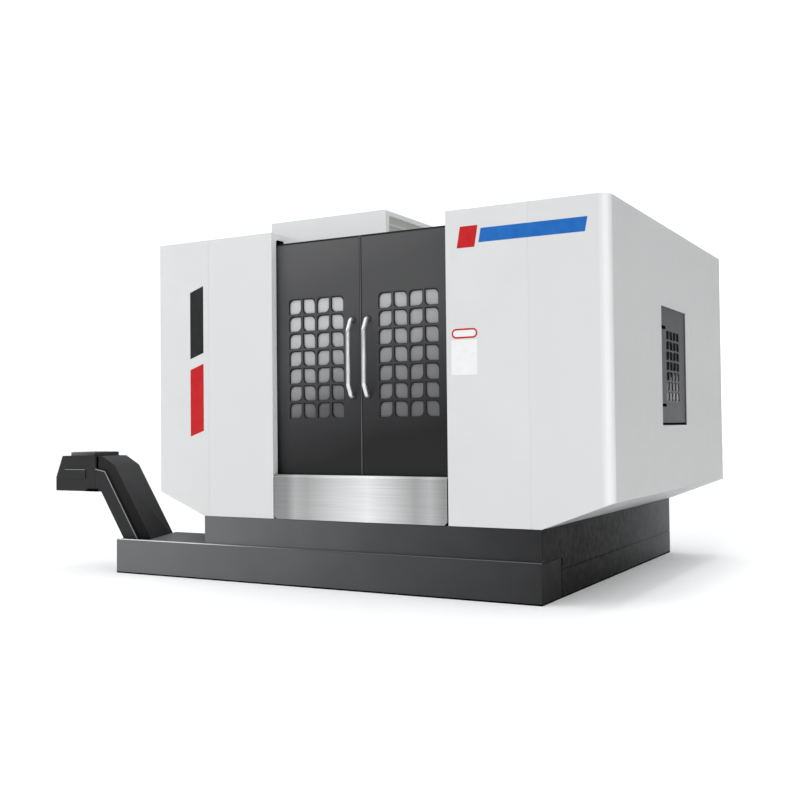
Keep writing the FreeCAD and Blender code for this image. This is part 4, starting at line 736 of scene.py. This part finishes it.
# The black block at the tank's joint is painted shade.
joint_x, joint_y, joint_z = tank_high[0] - 3 * MM, tank_high[1], tank_high[2] - 58 * MM
joint_block = blocks(
    ((joint_x, joint_y, joint_z), (tank_high[0] + 0.6 * MM, joint_y + 24 * MM, tank_high[2] - 2 * MM)),
    ((joint_x, joint_y, tank_low[2]), (tank_high[0] + 0.5 * MM, joint_y + 6 * MM, joint_z)))
piece("tank_joint_painted_shade", joint_block, black_rubber_and_painted_shade, 0.4 * MM, 1)
print("rib and joint")

# %% [markdown]
# ## The conveyor's edges
#
# The thin light line along the upper edge of the conveyor's side plate is a painted highlight, where
# the plate's ledge catches the light, and so is the line on the upper lip of the switch panel on the
# head. Pure black rubber in the joint between the head and the case and in the notch under the head
# is painted shade. They are thin plates and blocks, placed in millimetres from the machine's left end.

# %% Trim the conveyor


def from_end(outline):
    """An outline of (X from the left end, height) points in millimetres, as places on the front."""
    return [(left_edge + x * MM, z * MM) for x, z in outline]


plate_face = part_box("conveyor_side_plates")[0][1]
case_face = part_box("conveyor_case")[0][1]
# The edge line and the lip's line are painted highlights.
bright = bmesh.new()
upper_edge = [(-823, 926), (-705, 904), (-307, 300), (-316, 300), (-709.5, 897), (-823, 918.5)]
plate(bright, from_end(upper_edge), upright, plate_face - 0.8 * MM, plate_face + 2 * MM)
piece("conveyor_edge_highlight", bright, highlight_line_paint)
panel_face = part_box("conveyor_head")[0][1]
lip = blocks(((left_edge - 1205 * MM, panel_face - 0.8 * MM, 913.5 * MM),
              (left_edge - 947 * MM, panel_face + 3 * MM, 918.5 * MM)))
piece("switch_panel_lip_highlight", lip, highlight_line_paint, 0.5 * MM, 1)
# The black plates in the joint and the notch are painted shade.
conveyor_shade_plates = blocks(((left_edge - 824 * MM, case_face - 2 * MM, 925 * MM),
                 (left_edge - 806 * MM, case_face + 1 * MM, 1038 * MM)))
under_head = [(-940, 717), (-778, 717), (-790, 741), (-915, 741)]
plate(conveyor_shade_plates, from_end(under_head), upright, panel_face - 0.6 * MM, panel_face + 4 * MM)
piece("conveyor_painted_shade_plates", conveyor_shade_plates, black_rubber_and_painted_shade)
print("conveyor trimmed")

# %% [markdown]
# ## The tank's cover and skirts
#
# Between the conveyor and the lower frame a folded sheet closes the tank and sheds drips to the
# front. The tank's upper edge is folded over, and a strip along it is painted light, lightest towards
# the conveyor end: a painted highlight. Rubber skirts hang from the tank and the frame to the floor,
# so that no chips roll under; each hides its feet, and their pure black is painted shade, a thin
# black line where the shadow under the machine falls.

# %% Cover and skirt the tank
frame_low, frame_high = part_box("base_frame")
COVER = 3 * MM
cover_mesh = bmesh.new()
cover_side = [(tank_low[1] + 11 * MM, tank_high[2] + 0.6 * MM),
              (tank_high[1] - 1 * MM, tank_high[2] + 42 * MM)]
cover_side += [(y, z - COVER) for y, z in cover_side[::-1]]
cover_side[3] = (cover_side[3][0], tank_high[2] + 0.1 * MM)
plate(cover_mesh, cover_side, sideways, left_edge - 165 * MM, frame_low[0] - 1.5 * MM)
piece("tank_cover", cover_mesh, cover_coat)
# The edge strip is a painted highlight.
trim = blocks(((tank_low[0] + 1 * MM, tank_low[1] + 0.2 * MM, tank_high[2] - 2 * MM),
               (tank_high[0] - 1 * MM, tank_low[1] + 9 * MM, tank_high[2] + 6 * MM)))
piece("tank_edge_highlight", trim, edge_highlight_coat, 0.8 * MM, 1)
INSET, THICK = 0.8 * MM, 3.7 * MM
# The skirts' pure black is painted shade.
skirts = bmesh.new()
for low, high in ((tank_low, tank_high), (frame_low, frame_high)):
    x0, x1, y0, y1 = low[0] + INSET, high[0] - INSET, low[1] + INSET, high[1] - INSET
    in_x0, in_x1, in_y0, in_y1 = x0 + THICK, x1 - THICK, y0 + THICK, y1 - THICK
    for begin, end in (((x0, y0), (x1, in_y0)), ((x0, in_y1), (x1, y1)),
                       ((x0, in_y0), (in_x0, in_y1)), ((in_x1, in_y0), (x1, in_y1))):
        block(skirts, (*begin, 0.3 * MM), (*end, low[2] + 0.2 * MM))
piece("floor_skirts_painted_shade", skirts, black_rubber_and_painted_shade)
print("tank covered, skirts at", round(float(tank_low[2]), 3), round(float(frame_low[2]), 3))

# %% [markdown]
# ## Plain colour fields
#
# Cast vinyl film is cut on a plotter and stuck on the paint. It is only about 0.1 mm thick; here it
# stands 0.4 mm proud, so that it always shows. The fields are plain shapes and say nothing: a black
# and red stripe on the left cabinet, a red and blue band on the right one, and a red-rimmed lozenge
# over a blank pale sheet beside the doorway.

# %% Stick on the colour fields
FILM = 0.4 * MM


def slanted(low_x, high_x, low_z, high_z, lean):
    """A parallelogram; lean is how far its top is pushed along X."""
    return [(low_x, low_z), (high_x - lean, low_z), (high_x, high_z), (low_x + lean, high_z)]


def lozenge(low_x, high_x, low_z, high_z, turns=8):
    """A bar with half-round ends."""
    radius = (high_z - low_z) / 2
    ends = ((low_x + radius, 90), (high_x - radius, 270))
    return [(x + radius * math.cos(math.radians(begin + 180 * i / turns)),
             low_z + radius + radius * math.sin(math.radians(begin + 180 * i / turns)))
            for x, begin in ends for i in range(turns + 1)]


def upright_bar(low_z, high_z):
    """A stripe whose ends slope."""
    return [(345, low_z), (490, low_z + 50), (490, high_z), (345, high_z - 50)]


fields = (
    ("left_black_stripe", dark_vinyl, upright_bar(1885, 2510), 1),
    ("left_red_stripe", red_vinyl, upright_bar(1217, 1842), 1),
    ("right_red_band", red_vinyl, slanted(2912, 3085, 2610, 2770, 28), 1),
    ("right_blue_band", blue_vinyl, slanted(3090, 3930, 2640, 2745, 20), 1),
    ("small_red_field", red_vinyl, lozenge(2862, 3074, 1936, 2010), 1),
    ("small_pale_field", pale_vinyl, lozenge(2875, 3061, 1949, 1997), 2),
    ("pale_sheet", pale_vinyl, slanted(2858, 3070, 1665, 1926, 0), 1),
)
for name, finish, outline, layer in fields:
    mesh = bmesh.new()
    plate(mesh, from_end(outline), upright, front - FILM * layer, front - FILM * (layer - 1) - 0.05 * MM)
    piece(name, mesh, finish)
print("stuck on", len(fields), "colour fields")

# %% [markdown]
# ## Ball screws
#
# A ball screw is rolled from bar, with a round-bottomed thread of 20 mm pitch that the balls run in.
# The thread is one skin: at each step along the bar and round it the radius dips where the groove
# passes, so the groove really winds. The ends are plain journals.

# %% Cut the threads
PITCH, BAR, GROOVE = 20 * MM, 20 * MM, 3 * MM
JOURNAL, JOURNAL_RADIUS = 70 * MM, 15 * MM
ROUND = 14
STEPS_PER_TURN = 6


def threaded(node):
    """A rolled screw that stands for a node."""
    low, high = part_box(node)
    long_axis = max(range(3), key=lambda axis: high[axis] - low[axis])
    start_at = (low + high) / 2
    start_at[long_axis] = low[long_axis]
    length = high[long_axis] - low[long_axis]
    along = Vector([float(axis == long_axis) for axis in range(3)])
    across = along.orthogonal()
    third = along.cross(across)
    reaches = [0, JOURNAL * 0.98]
    count = int((length - 2 * JOURNAL) / PITCH * STEPS_PER_TURN)
    reaches += [JOURNAL + i * (length - 2 * JOURNAL) / count for i in range(count + 1)]
    reaches += [length - JOURNAL * 0.98, length]
    mesh = bmesh.new()
    loops = []
    for reach in reaches:
        ring = []
        for i in range(ROUND):
            share = i / ROUND
            phase = (reach / PITCH - share) % 1
            radius = BAR - GROOVE * max(0.0, math.cos(2 * math.pi * phase)) ** 0.5
            if reach < JOURNAL or reach > length - JOURNAL:
                radius = JOURNAL_RADIUS
            turned = 2 * math.pi * share
            outward = across * math.cos(turned) + third * math.sin(turned)
            ring.append(mesh.verts.new(start_at + along * reach + outward * radius))
        loops.append(ring)
    skin(mesh, loops)
    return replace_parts(piece(node + "_threaded", mesh, screw_steel, body=rides_on[node]), node)


for node in ("column_screw", "table_screw", "headstock_screw"):
    print(node, len(threaded(node).data.vertices), "points")

# %% [markdown]
# ## Servo motors
#
# A servo motor is a square aluminium extrusion with cooling ribs, between a thick flange and a cast
# end cap with the encoder's cover. Each is built along its own axis from blocks, and one rounding
# softens them all.

# %% Build the motors
RIBS = 7
# The flange, the body, the end cap and the encoder's cover: where each begins and ends as a share
# of the length, and how far it is drawn in, in millimetres.
MOTOR_PARTS = ((0.0, 0.08, 0), (0.08, 0.74, 10), (0.74, 0.93, 6), (0.93, 1.0, 16))


def servo(mesh, low, high, axis, flange_high):
    """A ribbed motor that fills a box; its flange is at the high end of the axis or the low one."""
    size = [b - a for a, b in zip(low, high)]
    others = [n for n in range(3) if n != axis]

    def slab(start_share, end_share, inset, cut=None):
        """A block over part of the length, drawn in from the box's sides."""
        shares = (1 - end_share, 1 - start_share) if flange_high else (start_share, end_share)
        begin, end = list(low), list(high)
        begin[axis], end[axis] = low[axis] + size[axis] * shares[0], low[axis] + size[axis] * shares[1]
        for n in others:
            begin[n], end[n] = low[n] + inset, high[n] - inset
        if cut:
            begin[cut[0]], end[cut[0]] = cut[1], cut[2]
        block(mesh, begin, end)

    for from_share, to_share, inset in MOTOR_PARTS:
        slab(from_share, to_share, inset * MM)
    for n in others:
        for rib in range(RIBS):
            at = low[n] + size[n] * (0.17 + 0.66 * rib / (RIBS - 1))
            slab(0.12, 0.7, 4 * MM, (n, at - 2.5 * MM, at + 2.5 * MM))


first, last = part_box("axis_motors")
WIDE, LONG = 130 * MM, 230 * MM
motors = bmesh.new()
servo(motors, first, (first[0] + WIDE, first[1] + LONG, last[2]), 1, True)
servo(motors, (last[0] - LONG, last[1] - WIDE, first[2]), last, 0, True)
feed_motors = piece("feed_motors", motors, motor_enamel, 2 * MM)
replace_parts(feed_motors, "axis_motors")
low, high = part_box("vertical_motor")
inner_x, middle_y, foot_top = high[0] - WIDE, (low[1] + high[1]) / 2, low[2] + 20 * MM
tower = bmesh.new()
servo(tower, (inner_x, middle_y - WIDE / 2, foot_top), (high[0], middle_y + WIDE / 2, high[2]), 2, False)
block(tower, low, (inner_x, high[1], foot_top))
for y in (low[1], middle_y + 25 * MM):
    block(tower, (inner_x, y, low[2]), (high[0], y + 65 * MM, foot_top))
lift_motor = piece("lift_motor", tower, motor_enamel, 2 * MM, body="column")
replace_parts(lift_motor, "vertical_motor")
print("three motors")

# %% [markdown]
# ## Tools in the magazine
#
# Each pocket has a ring round its mouth and holds a steep-taper holder: a flange with the gripper's
# groove, a collet nut and a cutter. They are turned parts, so each is one profile of millimetres
# spun round its axis, and the cutters differ in length and width as they would in a shop.

# %% Load the magazine
pocket_ring, tools_low = 360 * MM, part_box("stored_tools")[0]
magazine_low, magazine_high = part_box("tool_magazine")
hub_y, hub_z = (magazine_low[1] + magazine_high[1]) / 2, (magazine_low[2] + magazine_high[2]) / 2
FLANGE = ((0, 30), (2, 32), (8, 32), (11, 27), (16, 27), (19, 32), (24, 32), (26, 29), (27, 22),
          (44, 21), (46, 25), (62, 24), (64, 20), (64, 12.5))
POT = ((0, 22), (0, 34), (4, 38), (6, 38), (6, 22))
CUTTERS = ((116, 6), (138, 9), (154, 12), (130, 12))
TOOLS = 16
holders, cutters, pot_rings = bmesh.new(), bmesh.new(), bmesh.new()
for number in range(TOOLS):
    turned = 2 * math.pi * number / TOOLS
    pocket = hub_y + pocket_ring * math.cos(turned), hub_z + pocket_ring * math.sin(turned)
    at = tools_low[0], *pocket
    lathe(holders, in_metres(FLANGE), at, (1, 0, 0), 28)
    reach, width = CUTTERS[number % len(CUTTERS)]
    shank = ((63, 6), (80, 6), (82, width), (reach - 1, width), (reach, width - 1))
    lathe(cutters, in_metres(shank), at, (1, 0, 0), 12)
    lathe(pot_rings, in_metres(POT), (magazine_low[0] - 6 * MM, *pocket), (1, 0, 0), 28, ring=True)
tool_set = piece("tool_holders", holders, rail_steel, body="magazine")
piece("cutters", cutters, screw_steel, body="magazine")
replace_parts(tool_set, "stored_tools")
piece("pot_rings", pot_rings, motor_enamel, 0.6 * MM, 1, "magazine")
print(TOOLS, "tools")

# %% [markdown]
# ## Inside the electrical cabinet
#
# Drives and switchgear stand on a galvanised plate at the back of the cabinet: servo drives at the
# top, contactors and breakers below them, and two transformers at the foot. Slotted plastic ducts
# between the rows carry the wires. They show only while the cabinet's door is open.

# %% Fill the cabinet
openings = frame["record"]["physics"]["openings"]
(cab_left, cab_back, cab_floor), (cab_right, _, cab_lid) = next(
    o["box_m"] for o in openings if o["name"] == "cabinet_space")
cab_x = cab_left + 20 * MM, cab_right - 20 * MM
mount_y = cab_back + 5 * MM
panel = blocks(((cab_x[0], cab_back + 1 * MM, cab_floor + 16 * MM), (cab_x[1], mount_y, cab_lid - 16 * MM)))
piece("cabinet_mounting_plate", panel, fastener_zinc, 0.5 * MM, 1)

ducts = bmesh.new()
DUCT_HALF, DUCT_DEEP, TOOTH, TOOTH_PITCH = 25 * MM, 70 * MM, 8 * MM, 14 * MM
for share in (0.05, 0.36, 0.63, 0.95):
    z = cab_floor + share * (cab_lid - cab_floor)
    for begin, end in ((0, 20 * MM), (DUCT_DEEP - 4 * MM, DUCT_DEEP)):
        block(ducts, (cab_x[0], mount_y + begin, z - DUCT_HALF), (cab_x[1], mount_y + end, z + DUCT_HALF))
    for number in range(int((cab_x[1] - cab_x[0]) / TOOTH_PITCH)):
        x = cab_x[0] + number * TOOTH_PITCH
        for edge_z in (z - DUCT_HALF, z + DUCT_HALF - 3 * MM):
            block(ducts, (x, mount_y + 20 * MM, edge_z), (x + TOOTH, mount_y + DUCT_DEEP, edge_z + 3 * MM))
piece("cable_ducts", ducts, duct_plastic)


def device_row(mesh, faces, floor_z, high, wide, deep, gap, count):
    """A row of devices, each with a stepped cover, a terminal strip and cooling ribs on top."""
    for number in range(count):
        x = cab_x[0] + 18 * MM + number * (wide + gap)
        block(mesh, (x, mount_y, floor_z), (x + wide, mount_y + deep, floor_z + high))
        block(faces, (x + wide * 0.08, mount_y + deep, floor_z + high * 0.12),
              (x + wide * 0.92, mount_y + deep + 6 * MM, floor_z + high * 0.7))
        block(mesh, (x + wide * 0.1, mount_y + deep, floor_z + high * 0.76),
              (x + wide * 0.9, mount_y + deep + 4 * MM, floor_z + high * 0.94))
        for rib in range(5):
            y = mount_y + deep * (0.15 + 0.17 * rib)
            block(mesh, (x + wide * 0.1, y, floor_z + high),
                  (x + wide * 0.9, y + 3 * MM, floor_z + high + 9 * MM))


# Each row's place as a share of the height; height, width, depth and gap in millimetres; how many.
device_rows = ((0.68, 410, 122, 210, 16, 7), (0.44, 105, 45, 84, 4, 19),
               (0.53, 96, 36, 70, 1, 24), (0.1, 300, 330, 220, 40, 2))
bodies, faces = bmesh.new(), bmesh.new()
for share, *in_mm, count in device_rows:
    row_z = cab_floor + share * (cab_lid - cab_floor)
    device_row(bodies, faces, row_z, *(size * MM for size in in_mm), count)
piece("switchgear", bodies, device_plastic, 1.5 * MM, 1)
piece("switchgear_faces", faces, motor_enamel, 1 * MM, 1)
print("cabinet filled")

# %% [markdown]
# ## Screws
#
# The roof sheets, the left cover and the conveyor's lid are held by button-head screws. A head is a
# low dome: a short profile spun round, with its last ring dropped in for the socket.

# %% Drive the screws
HEAD = 7 * MM
DOME = ((0, 1), (0.2, 1), (0.42, 0.8), (0.52, 0.5), (0.52, 0.42), (0.2, 0.4))


def button_screws(name, spots, axis=(0, 0, 1)):
    """One piece with a button head at each spot, standing up along the axis."""
    mesh = bmesh.new()
    for spot in spots:
        lathe(mesh, [(x * HEAD, r * HEAD) for x, r in DOME], spot, axis, 12)
    piece(name, mesh, fastener_zinc)


def spread(low, high, count):
    """Evenly spread places from low to high."""
    return [low + (high - low) * i / (count - 1) for i in range(count)]


lid_low, lid_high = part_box("conveyor_lid")
roof_low, roof_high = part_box("roof_front")
EDGE_IN = 28 * MM
lid_spots = [(x, y, lid_high[2]) for x in spread(lid_low[0] + EDGE_IN, lid_high[0] - EDGE_IN, 3)
             for y in (lid_low[1] + EDGE_IN, lid_high[1] - EDGE_IN)]
front_x = spread(left_edge + 0.2, opening[0] - 0.08, 5) + spread(opening[1] + 0.08, right_edge - 0.2, 5)
roof_spots = [(x, roof_low[1] + EDGE_IN, roof_high[2]) for x in front_x]
for x in (left_edge + EDGE_IN, right_edge - EDGE_IN):
    roof_spots += [(x, y, roof_high[2]) for y in spread(front + 0.3, rear - 0.1, 9)]
left_spots = [(left_edge, y, z) for y in spread(front + 0.16, rear - 0.06, 9)
              for z in (cabinet_top - EDGE_IN, 0.8)]
button_screws("lid_screws", lid_spots)
button_screws("roof_screws", roof_spots)
button_screws("left_cover_screws", left_spots, (-1, 0, 0))
print("drove", len(lid_spots + roof_spots + left_spots), "screws")

# %% [markdown]
# ## Studio
#
# A machine this size is shot on a white floor under very large soft boxes. The sky stands for them:
# it is a soft grey that is brighter high up and towards the left, because satin paint mirrors it,
# and it shows as plain white behind the machine. A broad box at the upper left gives the front its
# light and throws the soft shadow to the right. One tall strip draws the bright line down the door
# handles and another lights the rounded corner, and two narrow-beamed boxes over the floor on the
# right keep the shadow short.

# %% Sky and floor
world = bpy.data.worlds.new("studio")
world.use_nodes = True
scene.world = world
sky = world.node_tree
sky.nodes.clear()
toward = add(sky, "TexCoord").outputs["Generated"]
split = add(sky, "SeparateXYZ", {"Vector": toward})
climb = add(sky, "Math", {0: split.outputs["Z"], 1: split.outputs["Z"]}, operation="MULTIPLY")
glow = add(sky, "Math", {0: climb.outputs[0], 1: 1.7, 2: 0.27}, operation="MULTIPLY_ADD")
leftness = add(sky, "Math", {0: split.outputs["X"], 1: -0.3, 2: 0.86}, operation="MULTIPLY_ADD")
frontness = add(sky, "Math", {0: split.outputs["Y"], 1: -0.25, 2: leftness.outputs[0]},
                operation="MULTIPLY_ADD")
strength = add(sky, "Math", {0: glow.outputs[0], 1: frontness.outputs[0]}, operation="MULTIPLY")
lit = add(sky, "Background", {"Color": linear("#FDFEFF"), "Strength": strength.outputs[0]})
plain = add(sky, "Background", {"Color": linear("#FFFFFF"), "Strength": 1.2})
seen = add(sky, "LightPath").outputs["Is Camera Ray"]
mixed = add(sky, "MixShader", {0: seen, 1: lit.outputs[0], 2: plain.outputs[0]})
add(sky, "OutputWorld", {"Surface": mixed.outputs[0]})
scene.view_settings.view_transform = "Standard"

FLOOR_REACH = 60
floor_mesh = bmesh.new()
corners = (-1, -1), (1, -1), (1, 1), (-1, 1)
floor_mesh.faces.new([floor_mesh.verts.new((x * FLOOR_REACH, y * FLOOR_REACH, 0)) for x, y in corners])
floor_data = bpy.data.meshes.new("studio_floor")
floor_mesh.to_mesh(floor_data)
floor_paint, floor_tree, floor_shader = start("studio floor paint", Specular_IOR_Level=0.0,
                                              Emission_Strength=0.12)
floor_shader.inputs["Emission Color"].default_value = linear("#FFFFFF")
floor_tone = ramp(floor_tree, grain(floor_tree, 3.0), (0, "#FAFAFA"), (1, "#FCFCFC"))
floor_tree.links.new(floor_tone, floor_shader.inputs["Base Color"])
floor_data.materials.append(floor_paint)
floor = bpy.data.objects.new("studio_floor", floor_data)
scene.collection.objects.link(floor)
print("white floor and sky")

# %% Soft boxes


def soft_box(name, at, aim, width, height, watts):
    """A rectangular area light that faces a point."""
    data = bpy.data.lights.new(name, "AREA")
    data.shape = "RECTANGLE"
    data.size, data.size_y, data.energy = width, height, watts
    lamp = bpy.data.objects.new(name, data)
    lamp.location = at
    lamp.rotation_euler = (Vector(aim) - Vector(at)).to_track_quat("-Z", "Y").to_euler()
    scene.collection.objects.link(lamp)
    return lamp


soft_box("key", (-7, -9, 7), (0, -1, 1.2), 6, 5, 150)
soft_box("corner_strip", (10, -6.5, 2), (2.7, -1.7, 1.6), 0.8, 5, 50)
floor_boxes = ("floor_fill_far", 7.5, 5, 90, 25), ("floor_fill_near", 5.2, 4.4, 45, 12)
for name, x, wide, watts, angle in floor_boxes:
    soft_box(name, (x, 2.5, 9), (x, 2.5, 0), wide, 9, watts).data.spread = math.radians(angle)
soft_box("handle_strip", (2.2, -11, 2), (0.6, -1.7, 1.8), 0.5, 4, 60)
